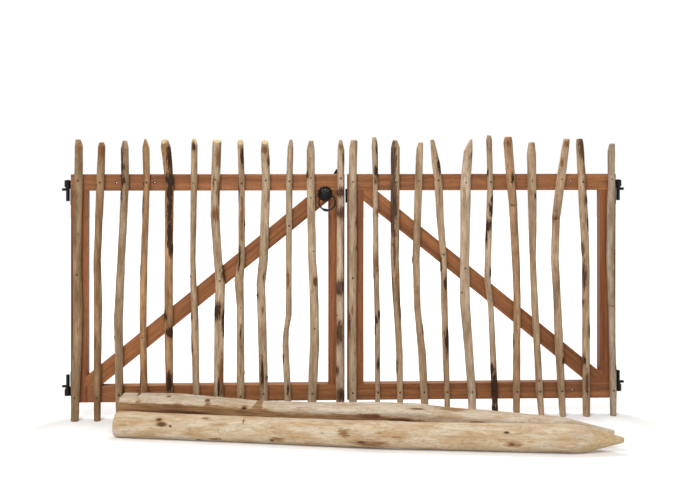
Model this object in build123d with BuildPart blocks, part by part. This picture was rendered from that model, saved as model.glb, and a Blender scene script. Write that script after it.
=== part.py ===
from build123d import *
import math
import os

os.makedirs("parts", exist_ok=True)

# Double-leaf garden gate: two hardwood frames with a diagonal brace, clad with peeled chestnut pales,
# hung on steel eyes and gudgeons, closed by a ring latch, with its two pointed posts lying in front.
# +X runs along the gate, +Y away from the front, +Z up. The origin is the middle of the end face
# of the lower left gudgeon's shank, where that hinge is fixed to its post.

# Overall sizes of the leaves
LEAF_WIDTH = 1170.0
FRAME_HEIGHT = 975.0
GROUND_GAP = 75.0
MEETING_GAP = 12.0

# Frame boards
BOARD_FACE = 70.0
BOARD_DEPTH = 45.0
BRACE_FACE = 70.0
BRACE_HOUSING = 9.0
ARRIS = 1.5

# Screw pockets bored in the rails: distance from the hinge stile, height above the rail's middle
POCKET_DIAMETER = 13.0
POCKET_DEPTH = 7.0
LEFT_TOP_POCKETS = ((124.0, -1.0), (287.0, -1.0))
RIGHT_TOP_POCKETS = ((126.0, 5.0),)
RIGHT_BOTTOM_POCKETS = ((119.0, 0.0),)

# Pales, with the leaf and the frame's top edge that their stations were taken on
TAKEN_LEAF_WIDTH = 1170.0
TAKEN_TOP_EDGE = 1050.0
LATCH_PALES = 160.0
PALE_DEPTH = 27.0
PALE_DEPTH_BASE = 8.0
PALE_DEPTH_SHARE = 0.6

# Hinges: a plate and eye on each stile, a gudgeon in each eye
PIN_DIAMETER = 16.0
PIN_CLEARANCE = 0.05
EYE_WALL = 6.5
EYE_LENGTH = 28.0
EYE_INSET = 40.0
PLATE_WIDTH = 34.0
PLATE_LENGTH = 105.0
PLATE_THICKNESS = 3.0
WELD_HEIGHT = 18.0
SHOULDER_STEP = 2.5
SHOULDER_LENGTH = 5.0
SHOULDER_FLARE = 3.0
SEAT_GAP = 0.3
SHANK_DIAMETER = 12.0
SHANK_REACH = 24.0
TAIL_LENGTH = 44.0
PIN_STAND = 2.0
PIN_EDGE = 1.5

# Ring latch on the left leaf
LATCH_FROM_STILE = 14.0
LATCH_FROM_RAIL = 14.0
ROSETTE_DIAMETER = 56.0
ROSETTE_THICKNESS = 4.0
PETAL_COUNT = 14
PETAL_SIDES = 8
PETAL_DIAMETER = 13.5
PETAL_CIRCLE = 53.0
ROSETTE_BOSS_DIAMETER = 46.0
ROSETTE_BOSS_HEIGHT = 3.0
SPINDLE_DIAMETER = 10.0
SPINDLE_ROOM = 2.0
HUB_DIAMETER = 42.0
DOME_RISE = 9.0
DOME_FLAT_DIAMETER = 20.0
DOME_OVER_RING = 1.0
RING_DIAMETER = 77.0
RING_WIRE = 6.5
WIRE_SIDES = 6
RING_SHIFT = 8.0
RING_PLAY = 0.3
GRIP_WIRE = 12.0
GRIP_CLEAR = 5.0
GRIP_ANGLE = 38.0
GRIP_TURN = -12.0

# Latch bar on the back of the left leaf, and its keeper on the right one
BAR_PAST_MEETING = 26.0
BAR_HEIGHT = 20.0
BAR_THICKNESS = 6.0
BAR_EYE_DIAMETER = 28.0
BAR_STAND = 5.0
BAR_RAISED = 60.0
KEEPER_PLATE = 3.0
KEEPER_HEIGHT = 60.0
KEEPER_WIDTH = 44.0
KEEPER_CLEAR = 5.0
KEEPER_PLAY_BELOW = 1.5
KEEPER_PLAY_BEHIND = 5.0
KEEPER_LIP_HEIGHT = 26.0

# Loose posts on the ground in front
POST_LENGTH = 1995.0
POST_POINT = 190.0
POST_TIP = 9.0
FRONT_POST_BUTT = (-936.0, -235.0)
FRONT_POST_TURN = 8.3
BACK_POST_BUTT = (-935.0, -101.0)
BACK_POST_TURN = 9.2
# Directions round each post from which its point was cut
FRONT_POST_CUTS = (35, 95, 165, 215, 285)
BACK_POST_CUTS = (20, 80, 150, 210, 270, 330)

# Places that follow from the sizes
EYE_DIAMETER = PIN_DIAMETER + 2 * EYE_WALL
SHOULDER_DIAMETER = PIN_DIAMETER + 2 * SHOULDER_STEP
PIN_OFFSET = PLATE_THICKNESS + EYE_DIAMETER / 2
HALF_FRAME = MEETING_GAP / 2 + LEAF_WIDTH
HALF_SPAN = HALF_FRAME + PIN_OFFSET
MID_X = SHANK_REACH + HALF_SPAN
FRONT = -BOARD_DEPTH / 2
BACK = BOARD_DEPTH / 2
LOWER_EYE = GROUND_GAP + EYE_INSET
UPPER_EYE = GROUND_GAP + FRAME_HEIGHT - EYE_INSET
SHANK_FROM_EYE = EYE_LENGTH / 2 + SEAT_GAP + SHOULDER_LENGTH + SHANK_DIAMETER / 2
FLOOR_Z = -(LOWER_EYE + SHANK_FROM_EYE)
RAIL_TOP_UNDERSIDE = GROUND_GAP + FRAME_HEIGHT - BOARD_FACE
RAIL_BOTTOM_TOP = GROUND_GAP + BOARD_FACE
HINGE_STILE_INNER = HALF_FRAME - BOARD_FACE
MEETING_STILE_INNER = MEETING_GAP / 2 + BOARD_FACE
LATCH_X = -(MEETING_STILE_INNER + LATCH_FROM_STILE)
LATCH_HEIGHT = RAIL_TOP_UNDERSIDE - LATCH_FROM_RAIL
RING_PLANE = PALE_DEPTH + GRIP_CLEAR + GRIP_WIRE / 2
RING_RADIUS = (RING_DIAMETER - RING_WIRE) / 2
RING_DROP = math.sqrt(RING_RADIUS ** 2 - RING_SHIFT ** 2)
HUB_BASE = ROSETTE_THICKNESS + ROSETTE_BOSS_HEIGHT + SEAT_GAP
HUB_FRONT = RING_PLANE + RING_WIRE / 2 + RING_PLAY + DOME_OVER_RING + DOME_RISE
BAR_REACH = BAR_PAST_MEETING - LATCH_X
KEEPER_LEFT = KEEPER_CLEAR - MEETING_GAP / 2

LEFT, RIGHT = -1, 1
SIDE_NAMES = {LEFT: "left", RIGHT: "right"}


def along(offset):
    """Row X of a distance from the meeting line, negative to the left."""
    return MID_X + offset


def up(height):
    """Row Z of a height above the ground."""
    return FLOOR_Z + height


def front_plane(depth=0.0):
    """Upright plane facing the viewer, depth behind the front face of the frames."""
    return Plane(origin=(MID_X, FRONT + depth, FLOOR_Z), x_dir=(1, 0, 0), z_dir=(0, -1, 0))


def save(part, name):
    """Label a finished piece and write it as a node."""
    part.label = name
    export_step(part, f"parts/{name}.step")


def brace_strip(side, reach):
    """The brace's outline, from the lower hinge corner to the upper meeting corner."""
    low = (side * HINGE_STILE_INNER, RAIL_BOTTOM_TOP)
    high = (side * MEETING_STILE_INNER, RAIL_TOP_UNDERSIDE)
    run, rise = high[0] - low[0], high[1] - low[1]
    middle = ((low[0] + high[0]) / 2, (low[1] + high[1]) / 2)
    width = HINGE_STILE_INNER + reach - MEETING_STILE_INNER
    with Locations(middle):
        Rectangle(2 * math.hypot(run, rise), BRACE_FACE, rotation=math.degrees(math.atan2(rise, run)))
    with Locations((side * (MEETING_STILE_INNER + width / 2), middle[1])):
        Rectangle(width, RAIL_TOP_UNDERSIDE - RAIL_BOTTOM_TOP, mode=Mode.INTERSECT)


def board(name, low, high, side, pockets=(), housed=False):
    """A frame board between two corners, with eased arrises, screw pockets and a brace housing."""
    (x0, z0), (x1, z1) = low, high
    with BuildPart() as piece:
        with BuildSketch(front_plane()):
            with Locations(((x0 + x1) / 2, (z0 + z1) / 2)):
                Rectangle(abs(x1 - x0), z1 - z0)
        extrude(amount=-BOARD_DEPTH)
        grain = Axis.X if abs(x1 - x0) > z1 - z0 else Axis.Z
        chamfer(piece.edges().filter_by(grain), length=ARRIS)
        if housed:
            with BuildSketch(front_plane()):
                brace_strip(side, BRACE_HOUSING)
            extrude(amount=-BOARD_DEPTH, mode=Mode.SUBTRACT)
        for from_stile, rise in pockets:
            place = (side * (HINGE_STILE_INNER - from_stile), (z0 + z1) / 2 + rise)
            with Locations(front_plane().location * Location(place)):
                Hole(radius=POCKET_DIAMETER / 2, depth=POCKET_DEPTH)
    save(piece.part, name)


def brace(name, side, spindle_hole=False):
    """The diagonal brace, let into the hinge stile at its foot."""
    with BuildPart() as piece:
        with BuildSketch(front_plane()):
            brace_strip(side, BRACE_HOUSING)
        extrude(amount=-BOARD_DEPTH)
        if spindle_hole:
            with BuildSketch(front_plane()):
                with Locations((LATCH_X, LATCH_HEIGHT)):
                    Circle(SPINDLE_DIAMETER / 2 + SPINDLE_ROOM)
            extrude(amount=-BOARD_DEPTH, mode=Mode.SUBTRACT)
    save(piece.part, name)


def frame(side):
    """The two stiles, two rails and brace of one leaf."""
    hand = SIDE_NAMES[side]
    outer, inner = side * HALF_FRAME, side * MEETING_GAP / 2
    stile, meeting = side * HINGE_STILE_INNER, side * MEETING_STILE_INNER
    top, bottom = GROUND_GAP + FRAME_HEIGHT, GROUND_GAP
    # The left hinge stile runs down past its rail, the right one stands on its rail.
    stile_foot = bottom if side == LEFT else RAIL_BOTTOM_TOP
    rail_end = stile if side == LEFT else outer
    top_pockets = LEFT_TOP_POCKETS if side == LEFT else RIGHT_TOP_POCKETS
    bottom_pockets = () if side == LEFT else RIGHT_BOTTOM_POCKETS
    board(f"{hand}_top_rail", (outer, RAIL_TOP_UNDERSIDE), (inner, top), side, top_pockets)
    board(f"{hand}_bottom_rail", (rail_end, bottom), (inner, RAIL_BOTTOM_TOP), side, bottom_pockets)
    board(f"{hand}_hinge_stile", (outer, stile_foot), (stile, RAIL_TOP_UNDERSIDE), side, housed=True)
    board(f"{hand}_meeting_stile", (meeting, RAIL_BOTTOM_TOP), (inner, RAIL_TOP_UNDERSIDE), side)
    brace(f"{hand}_brace", side, spindle_hole=side == LEFT)


# Outline of a pale: shares of its width across and of its depth forward of the frame, flat at the back.
PALE_OUTLINE = (
    (0.36, 0.0), (0.5, 0.4), (0.41, 0.77), (0.16, 1.0),
    (-0.16, 1.0), (-0.41, 0.77), (-0.5, 0.4), (-0.36, 0.0),
)

# Each pale from foot to tip: height, distance from the meeting line, width.
LEFT_PALES = (
    ((0, -1156, 36), (120, -1153, 39), (425, -1142, 42), (685, -1146, 36),
     (1015, -1140, 38), (1170, -1139, 36), (1200, -1143, 22)),
    ((0, -1061, 30), (120, -1061, 31), (515, -1058, 38), (685, -1061, 32),
     (1015, -1048, 36), (1170, -1042, 32), (1188, -1043, 20)),
    ((0, -966, 33), (120, -967, 36), (430, -972, 40), (685, -960, 35),
     (1015, -943, 33), (1160, -944, 34), (1195, -944, 20)),
    ((0, -863, 31), (125, -863, 33), (355, -867, 31), (480, -867, 32),
     (685, -863, 31), (1015, -852, 28), (1163, -855, 33), (1201, -858, 9)),
    ((0, -753, 31), (130, -755, 33), (430, -759, 39), (685, -758, 38),
     (1015, -755, 38), (1168, -771, 44), (1199, -775, 27)),
    ((0, -640, 29), (130, -642, 31), (430, -647, 34), (577, -653, 29),
     (685, -656, 25), (1015, -651, 29), (1176, -649, 29), (1202, -651, 16)),
    ((0, -546, 40), (115, -546, 43), (450, -543, 43), (585, -538, 44), (685, -549, 38),
     (868, -561, 39), (1015, -559, 40), (1184, -553, 40), (1198, -553, 34)),
    ((0, -452, 33), (115, -452, 35), (478, -453, 32), (598, -459, 41),
     (685, -448, 30), (1015, -447, 27), (1180, -453, 27), (1199, -454, 20)),
    ((0, -352, 36), (90, -353, 39), (410, -360, 39), (576, -366, 39),
     (685, -354, 41), (1015, -343, 37), (1155, -348, 37), (1196, -349, 26)),
    ((0, -249, 28), (86, -250, 30), (320, -260, 27), (378, -257, 25), (447, -246, 27),
     (685, -246, 27), (1015, -244, 29), (1160, -239, 26), (1200, -237, 15)),
    ((0, -148, 38), (85, -146, 41), (326, -135, 42), (476, -137, 40), (597, -140, 40),
     (685, -146, 36), (1015, -152, 36), (1151, -152, 36), (1195, -150, 20)),
    ((0, -25, 36), (84, -25, 38), (325, -26, 35), (685, -26, 31),
     (1015, -24, 31), (1156, -22, 30), (1198, -23, 15)),
)
RIGHT_PALES = (
    ((0, 29, 34), (84, 29, 36), (424, 28, 34), (685, 29, 38),
     (1015, 28, 35), (1160, 31, 37), (1197, 35, 30)),
    ((0, 136, 21), (83, 136, 22), (423, 135, 25), (685, 129, 25),
     (1015, 126, 23), (1173, 123, 26), (1210, 122, 18)),
    ((0, 234, 25), (82, 233, 27), (276, 230, 30), (475, 220, 32), (685, 210, 38),
     (1015, 212, 40), (1164, 213, 40), (1197, 211, 20)),
    ((0, 338, 33), (77, 338, 35), (276, 328, 35), (474, 308, 30), (685, 302, 33),
     (1015, 313, 34), (1160, 318, 29), (1187, 323, 20)),
    ((0, 438, 24), (102, 436, 26), (474, 425, 30), (685, 421, 30), (867, 406, 33),
     (1015, 399, 36), (1096, 388, 36), (1200, 372, 18)),
    ((0, 546, 34), (101, 544, 37), (296, 530, 40), (495, 514, 46), (685, 513, 43),
     (1015, 517, 47), (1152, 528, 40), (1202, 542, 11)),
    ((0, 646, 25), (222, 638, 28), (473, 627, 25), (594, 612, 30),
     (685, 614, 29), (1015, 624, 27), (1200, 619, 26), (1219, 618, 18)),
    ((0, 738, 31), (121, 738, 33), (520, 741, 33), (685, 735, 36), (914, 723, 37),
     (1015, 714, 41), (1187, 701, 41), (1212, 701, 32)),
    ((0, 848, 27), (108, 838, 32), (272, 830, 31), (472, 818, 32), (685, 809, 28),
     (840, 808, 38), (1015, 805, 40), (1139, 803, 42), (1188, 804, 26)),
    ((0, 941, 28), (72, 936, 32), (280, 925, 39), (519, 915, 35), (685, 905, 36),
     (862, 911, 36), (1015, 930, 41), (1152, 950, 35), (1203, 958, 28)),
    ((0, 1044, 33), (102, 1043, 36), (220, 1042, 35), (685, 1041, 34),
     (840, 1033, 38), (1015, 1024, 38), (1180, 1014, 33), (1203, 1013, 26)),
    ((0, 1161, 28), (101, 1161, 31), (470, 1154, 30), (685, 1148, 36),
     (1015, 1152, 33), (1152, 1153, 33), (1183, 1158, 23)),
)


def pale_shift(stations):
    """How far a pale moves on a leaf of another width: those beside the latch keep their places."""
    place = sum(centre for _, centre, _ in stations) / len(stations)
    share = max(0.0, abs(place) - LATCH_PALES) / (TAKEN_LEAF_WIDTH - LATCH_PALES)
    return math.copysign(share, place) * (LEAF_WIDTH - TAKEN_LEAF_WIDTH)


def pale(name, stations):
    """A peeled stick lofted through its stations, its flat back on the frame's front face."""
    stretch = (GROUND_GAP + FRAME_HEIGHT) / TAKEN_TOP_EDGE
    shift = pale_shift(stations)
    with BuildPart() as stick:
        for height, centre, width in stations:
            depth = min(PALE_DEPTH, PALE_DEPTH_BASE + PALE_DEPTH_SHARE * width)
            outline = [(along(centre + shift) + width * x, FRONT - depth * y) for x, y in PALE_OUTLINE]
            with BuildSketch(Plane.XY.offset(up(height * stretch))):
                Polygon(*outline, align=None)
        loft(ruled=True)
    save(stick.part, name)


def hinge_plates(name, side):
    """The upper and lower plate of a leaf, each with its welded eye."""
    pin_x = along(side * HALF_SPAN)
    plate_x = along(side * (HALF_FRAME + PLATE_THICKNESS / 2))
    with BuildPart() as pair:
        for eye, away in ((UPPER_EYE, -1), (LOWER_EYE, 1)):
            plate_middle = eye + away * (PLATE_LENGTH - EYE_LENGTH) / 2
            with BuildSketch(Plane.XY.offset(up(plate_middle - PLATE_LENGTH / 2))):
                with Locations((plate_x, 0)):
                    Rectangle(PLATE_THICKNESS, PLATE_WIDTH)
            extrude(amount=PLATE_LENGTH)
            with BuildSketch(Plane.XY.offset(up(eye - EYE_LENGTH / 2))):
                with Locations((pin_x, 0)):
                    Circle(EYE_DIAMETER / 2)
                # The weld fills the corner between the eye and its plate.
                with Locations((along(side * (HALF_FRAME + PIN_OFFSET / 2)), 0)):
                    Rectangle(PIN_OFFSET, WELD_HEIGHT)
                with Locations((pin_x, 0)):
                    Circle(PIN_DIAMETER / 2 + PIN_CLEARANCE, mode=Mode.SUBTRACT)
            extrude(amount=EYE_LENGTH)
    save(pair.part, name)


def gudgeons(name, side):
    """The two gudgeons of one post: the upper pin points up, the lower one down against lifting."""
    pin_x = along(side * HALF_SPAN)
    pin_r, shoulder_r = PIN_DIAMETER / 2, SHOULDER_DIAMETER / 2
    pin_end = SHANK_DIAMETER / 2 + SHOULDER_LENGTH + SEAT_GAP + EYE_LENGTH + PIN_STAND
    tail_end = SHANK_DIAMETER / 2 + TAIL_LENGTH
    with BuildPart() as pair:
        for eye, away in ((UPPER_EYE, -1), (LOWER_EYE, 1)):
            shank = up(eye + away * SHANK_FROM_EYE)
            # Half the outline of the rod, with its shoulder, seen across its axis.
            outline = [(0, away * tail_end), (pin_r, away * tail_end), (pin_r, -away * SHOULDER_FLARE),
                       (shoulder_r, -away * SHOULDER_FLARE),
                       (shoulder_r, -away * (SHANK_DIAMETER / 2 + SHOULDER_LENGTH)),
                       (pin_r, -away * (SHANK_DIAMETER / 2 + SHOULDER_LENGTH)),
                       (pin_r, -away * (pin_end - PIN_EDGE)), (pin_r - PIN_EDGE, -away * pin_end),
                       (0, -away * pin_end)]
            with BuildSketch(Plane(origin=(pin_x, 0, shank), x_dir=(1, 0, 0), z_dir=(0, -1, 0))):
                Polygon(*outline, align=None)
            revolve(axis=Axis((pin_x, 0, shank), (0, 0, 1)))
            with BuildSketch(Plane(origin=(pin_x, 0, shank), z_dir=(side, 0, 0))):
                Circle(SHANK_DIAMETER / 2)
            extrude(amount=SHANK_REACH)
    save(pair.part, name)


def latch_plane(forward):
    """Plane square to the latch spindle, forward of the frame's front face."""
    middle = (along(LATCH_X), FRONT - forward, up(LATCH_HEIGHT))
    return Plane(origin=middle, x_dir=(1, 0, 0), z_dir=(0, -1, 0))


def ring_arc(start, sweep_angle, wire):
    """Part of the hanging ring from a start angle, drawn with a wire of a few flat sides."""
    centre = (along(LATCH_X + RING_SHIFT), FRONT - RING_PLANE, up(LATCH_HEIGHT - RING_DROP))
    cos_a, sin_a = math.cos(math.radians(start)), math.sin(math.radians(start))
    with BuildSketch(Plane(origin=centre, x_dir=(cos_a, 0, sin_a), z_dir=(-sin_a, 0, cos_a))) as section:
        with Locations((RING_RADIUS, 0)):
            RegularPolygon(wire / 2, WIRE_SIDES, rotation=180 / WIRE_SIDES)
    revolve(section.sketch, axis=Axis(centre, (0, -1, 0)), revolution_arc=sweep_angle)


# Latch rosette: a plate with forged petals on the frame and a raised boss, bored for the spindle.
with BuildPart() as latch_rosette:
    with BuildSketch(latch_plane(0)):
        Circle(ROSETTE_DIAMETER / 2)
        with PolarLocations(PETAL_CIRCLE / 2, PETAL_COUNT):
            RegularPolygon(PETAL_DIAMETER / 2, PETAL_SIDES)
    extrude(amount=ROSETTE_THICKNESS)
    with BuildSketch(latch_plane(ROSETTE_THICKNESS)):
        Circle(ROSETTE_BOSS_DIAMETER / 2)
    extrude(amount=ROSETTE_BOSS_HEIGHT)
    with BuildSketch(latch_plane(0)):
        Circle(SPINDLE_DIAMETER / 2 + PIN_CLEARANCE)
    extrude(amount=ROSETTE_THICKNESS + ROSETTE_BOSS_HEIGHT, mode=Mode.SUBTRACT)
save(latch_rosette.part, "latch_rosette")

# Latch hub: a knob with a forged dome, turned with its spindle and slotted through for the ring.
SPINDLE_END = BOARD_DEPTH + BAR_STAND + BAR_THICKNESS
SLOT_DEPTH = RING_WIRE + 2 * RING_PLAY
RING_SAG = RING_RADIUS - math.sqrt(RING_RADIUS ** 2 - (HUB_DIAMETER / 2) ** 2)
with BuildPart() as latch_hub:
    with BuildSketch(Plane(origin=(along(LATCH_X), 0, up(LATCH_HEIGHT)), x_dir=(1, 0, 0), z_dir=(0, 0, 1))):
        front, base = FRONT - HUB_FRONT, FRONT - HUB_BASE
        rim = front + DOME_RISE
        Polygon((0, front), (0, FRONT + SPINDLE_END), (SPINDLE_DIAMETER / 2, FRONT + SPINDLE_END),
                (SPINDLE_DIAMETER / 2, base), (HUB_DIAMETER / 2, base), (HUB_DIAMETER / 2, rim),
                (DOME_FLAT_DIAMETER / 2, front), align=None)
    revolve(axis=Axis((along(LATCH_X), 0, up(LATCH_HEIGHT)), (0, 1, 0)))
    # The slot lies along the ring's middle line at the spindle and leaves room for the ring's curve.
    with BuildSketch(latch_plane(RING_PLANE)):
        with Locations(Location((0, 0), math.degrees(math.asin(RING_SHIFT / RING_RADIUS)))):
            with Locations((0, -RING_SAG / 2)):
                Rectangle(2 * HUB_DIAMETER, SLOT_DEPTH + RING_SAG)
    extrude(amount=SLOT_DEPTH / 2, both=True, mode=Mode.SUBTRACT)
save(latch_hub.part, "latch_hub")

# Latch ring: a thin wire ring with a thicker grip at its foot.
with BuildPart() as latch_ring:
    ring_arc(0, 360, RING_WIRE)
    ring_arc(GRIP_TURN - 90 - GRIP_ANGLE / 2, GRIP_ANGLE, GRIP_WIRE)
save(latch_ring.part, "latch_ring")

# Latch bar: raised and clear of the right leaf, it drops level into the keeper.
with BuildPart() as latch_bar:
    bar_plane = latch_plane(-(BOARD_DEPTH + BAR_STAND + BAR_THICKNESS))
    with BuildSketch(bar_plane):
        Circle(BAR_EYE_DIAMETER / 2)
        with Locations(Location((0, 0), BAR_RAISED)):
            with Locations((BAR_REACH / 2, 0)):
                SlotOverall(BAR_REACH + BAR_HEIGHT, BAR_HEIGHT)
        with Locations(Location((0, 0), BAR_RAISED)):
            with Locations((BAR_REACH + BAR_HEIGHT / 2, 0)):
                Rectangle(BAR_HEIGHT, BAR_HEIGHT, mode=Mode.SUBTRACT)
        Circle(SPINDLE_DIAMETER / 2, mode=Mode.SUBTRACT)
    extrude(amount=BAR_THICKNESS)
    # A collar on the spindle keeps the bar off the frame.
    with BuildSketch(bar_plane.offset(BAR_THICKNESS)):
        Circle(BAR_EYE_DIAMETER / 2)
        Circle(SPINDLE_DIAMETER / 2, mode=Mode.SUBTRACT)
    extrude(amount=BAR_STAND - SEAT_GAP)
save(latch_bar.part, "latch_bar")

# Latch keeper: a plate on the right meeting stile with a ledge and an upturned lip.
with BuildPart() as latch_keeper:
    ledge_top = LATCH_HEIGHT - BAR_HEIGHT / 2 - KEEPER_PLAY_BELOW
    lip_front = BACK + BAR_STAND + BAR_THICKNESS + KEEPER_PLAY_BEHIND
    profile = [(BACK, ledge_top + KEEPER_HEIGHT / 2), (BACK, ledge_top - KEEPER_HEIGHT / 2),
               (BACK + KEEPER_PLATE, ledge_top - KEEPER_HEIGHT / 2),
               (BACK + KEEPER_PLATE, ledge_top - KEEPER_PLATE),
               (lip_front + KEEPER_PLATE, ledge_top - KEEPER_PLATE),
               (lip_front + KEEPER_PLATE, ledge_top + KEEPER_LIP_HEIGHT),
               (lip_front, ledge_top + KEEPER_LIP_HEIGHT), (lip_front, ledge_top),
               (BACK + KEEPER_PLATE, ledge_top), (BACK + KEEPER_PLATE, ledge_top + KEEPER_HEIGHT / 2)]
    with BuildSketch(Plane(origin=(along(KEEPER_LEFT), 0, FLOOR_Z), x_dir=(0, 1, 0), z_dir=(1, 0, 0))):
        Polygon(*profile, align=None)
    extrude(amount=KEEPER_WIDTH)
save(latch_keeper.part, "latch_keeper")

# Outlines of the two posts, as shares of their width across and of their height above the ground.
ROUND_OUTLINE = tuple(
    (0.5 * math.cos(math.radians(a)), 0.5 + 0.5 * math.sin(math.radians(a))) for a in range(0, 360, 24)
)
HEWN_OUTLINE = (
    (0.3, 0.0), (0.47, 0.2), (0.5, 0.55), (0.4, 0.88), (0.12, 1.0),
    (-0.36, 0.95), (-0.48, 0.84), (-0.5, 0.35), (-0.42, 0.08), (-0.2, 0.0),
)

# Stations of each post: distance from its butt, sideways bow, width, height.
FRONT_POST = (
    (0, 0, 99, 99), (60, 0, 101, 101), (340, -8, 99, 99), (740, -20, 101, 101), (960, -28, 100, 101),
    (1080, -30, 106, 104), (1200, -26, 103, 103), (1450, -18, 103, 103), (1700, -8, 106, 106),
    (1995, 0, 105, 105),
)
BACK_POST = (
    (0, 0, 128, 139), (250, 0, 132, 143), (420, 2, 128, 133), (590, 2, 118, 124), (820, 0, 118, 127),
    (1060, -4, 124, 136), (1240, -4, 120, 136), (1340, -3, 114, 126), (1500, -2, 110, 118),
    (1660, 0, 104, 109), (1800, 0, 100, 102), (1995, 0, 98, 100),
)


def post(name, butt, turn, outline, stations, facets):
    """A log lying on the ground, lofted through its stations, with a point hewn by straight cuts."""
    heading = math.radians(turn)
    axis = Vector(math.cos(heading), -math.sin(heading), 0)
    across = Vector(math.sin(heading), math.cos(heading), 0)
    start = Vector(along(butt[0]), FRONT + butt[1], FLOOR_Z)
    with BuildPart() as log:
        for distance, bow, width, height in stations:
            station = Plane(origin=start + axis * distance + across * bow, x_dir=across, z_dir=axis)
            with BuildSketch(station):
                Polygon(*[(width * x, height * y) for x, y in outline], align=None)
        loft(ruled=True)
        last_width, last_height = stations[-1][2:]
        tip = start + axis * POST_LENGTH + Vector(0, 0, last_height / 2)
        slope = math.atan2(last_width / 2 - POST_TIP, POST_POINT)
        for roll in facets:
            outward = across * math.cos(math.radians(roll)) + Vector(0, 0, math.sin(math.radians(roll)))
            normal = outward * math.cos(slope) + axis * math.sin(slope)
            split(bisect_by=Plane(origin=tip + outward * POST_TIP, z_dir=normal), keep=Keep.BOTTOM)
    save(log.part, name)


for hinge_side in (LEFT, RIGHT):
    frame(hinge_side)
    hinge_plates(f"{SIDE_NAMES[hinge_side]}_hinge_plates", hinge_side)
    gudgeons(f"{SIDE_NAMES[hinge_side]}_gudgeons", hinge_side)

for hand, pales in (("left", LEFT_PALES), ("right", RIGHT_PALES)):
    for number, stations in enumerate(pales, start=1):
        pale(f"{hand}_pale_{number:02d}", stations)

post("front_post", FRONT_POST_BUTT, FRONT_POST_TURN, ROUND_OUTLINE, FRONT_POST, FRONT_POST_CUTS)
post("back_post", BACK_POST_BUTT, BACK_POST_TURN, HEWN_OUTLINE, BACK_POST, BACK_POST_CUTS)
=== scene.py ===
"""Looks of a double garden gate of peeled chestnut pales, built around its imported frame.

The pales and the two loose posts are worked up from the frame's own timbers: evenly meshed, given the
bumps, knots and hewn ends of split chestnut, and painted with attributes that the wood finishes read. The
planed boards and the steel keep their shapes and get their finishes. Lengths in this file are millimetres,
except where it says metres, which are Blender's.
"""

import logging
import math
import random
from dataclasses import dataclass, field
from enum import Enum, IntEnum

import bmesh
import bpy
import numpy as np
from mathutils import Euler, Matrix, Vector, noise
from mathutils.bvhtree import BVHTree

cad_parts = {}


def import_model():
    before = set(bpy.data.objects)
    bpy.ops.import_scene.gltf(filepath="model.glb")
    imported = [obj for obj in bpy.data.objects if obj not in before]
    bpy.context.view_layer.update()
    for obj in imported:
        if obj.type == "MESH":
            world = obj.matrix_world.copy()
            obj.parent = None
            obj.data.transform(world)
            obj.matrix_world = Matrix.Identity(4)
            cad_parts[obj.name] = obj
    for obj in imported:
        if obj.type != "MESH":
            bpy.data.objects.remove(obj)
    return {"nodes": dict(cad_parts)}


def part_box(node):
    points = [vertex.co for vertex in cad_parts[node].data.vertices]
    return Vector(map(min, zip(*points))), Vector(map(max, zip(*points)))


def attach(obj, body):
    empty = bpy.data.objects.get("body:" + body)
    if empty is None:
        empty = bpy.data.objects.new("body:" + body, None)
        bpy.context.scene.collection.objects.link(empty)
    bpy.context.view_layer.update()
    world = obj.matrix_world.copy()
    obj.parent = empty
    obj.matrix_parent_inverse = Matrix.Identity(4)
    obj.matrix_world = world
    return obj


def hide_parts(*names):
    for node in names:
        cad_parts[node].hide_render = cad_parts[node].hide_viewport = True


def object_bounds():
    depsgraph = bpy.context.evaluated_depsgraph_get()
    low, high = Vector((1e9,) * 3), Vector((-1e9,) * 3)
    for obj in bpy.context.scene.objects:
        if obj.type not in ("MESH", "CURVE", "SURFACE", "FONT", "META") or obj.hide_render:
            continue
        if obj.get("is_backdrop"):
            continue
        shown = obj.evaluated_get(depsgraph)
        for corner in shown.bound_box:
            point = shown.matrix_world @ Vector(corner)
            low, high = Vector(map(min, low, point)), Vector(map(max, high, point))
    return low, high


LOG = logging.getLogger("gate")
MM = 0.001

# Corners nearer to each other than this are one
MERGE = 0.01
# Blender's names of the node types used most
NOISE = "ShaderNodeTexNoise"
MIX = "ShaderNodeMix"
MATH = "ShaderNodeMath"
MAP_RANGE = "ShaderNodeMapRange"
# Input and output places of the Mix node when it mixes colours, and its settings
MIX_A, MIX_B, MIX_OUT = 6, 7, 2
MIX_COLOURS = {"data_type": "RGBA"}
MULTIPLY_COLOURS = {"data_type": "RGBA", "blend_type": "MULTIPLY"}
MULTIPLY_ADD = {"operation": "MULTIPLY_ADD"}
WHITE = (1.0, 1.0, 1.0, 1.0)


class Body(str, Enum):
    """The bodies of the frame that pieces ride on."""

    POSTS = "posts"
    LEFT_LEAF = "left_leaf"
    RIGHT_LEAF = "right_leaf"
    LATCH = "latch"


class Hand(str, Enum):
    """The two leaves, as the viewer sees them."""

    LEFT = "left"
    RIGHT = "right"


class Slot(str, Enum):
    """The record's names of material slots; the new pieces here take no finish from them."""

    PALE = "peeled_chestnut"
    POST = "post_chestnut"
    STEEL = "black_steel"


class Mark(str, Enum):
    """What is left or shows on a peeled timber; each value is the name of its vertex attribute."""

    BARK = "bark"
    # Inner bark, and on the front post one patch of painted shadow
    BAST = "bast"
    # Knots and scars, and painted shade: the rims round screws and two strips on the back post
    KNOT = "knot"
    FRESH = "fresh"


class Tone(Enum):
    """Weathering of a peeled pale, and once painted shade: its light and its dark wood colour."""

    GREY = ("#C0A88C", "#917A60")
    ASH = ("#B09678", "#80694E")
    TAN = ("#BDA183", "#8B7155")
    OCHRE = ("#B68D66", "#836242")
    BROWN = ("#A68461", "#775A41")
    LIGHT = ("#C8B198", "#9A8268")
    # The ash tone made darker: painted shade on the left leaf's first pale
    SHADED_ASH = ("#A58A6B", "#765F45")
    STONE = ("#B3A08B", "#84725F")
    FAWN = ("#B58F6D", "#82654A")


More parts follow.
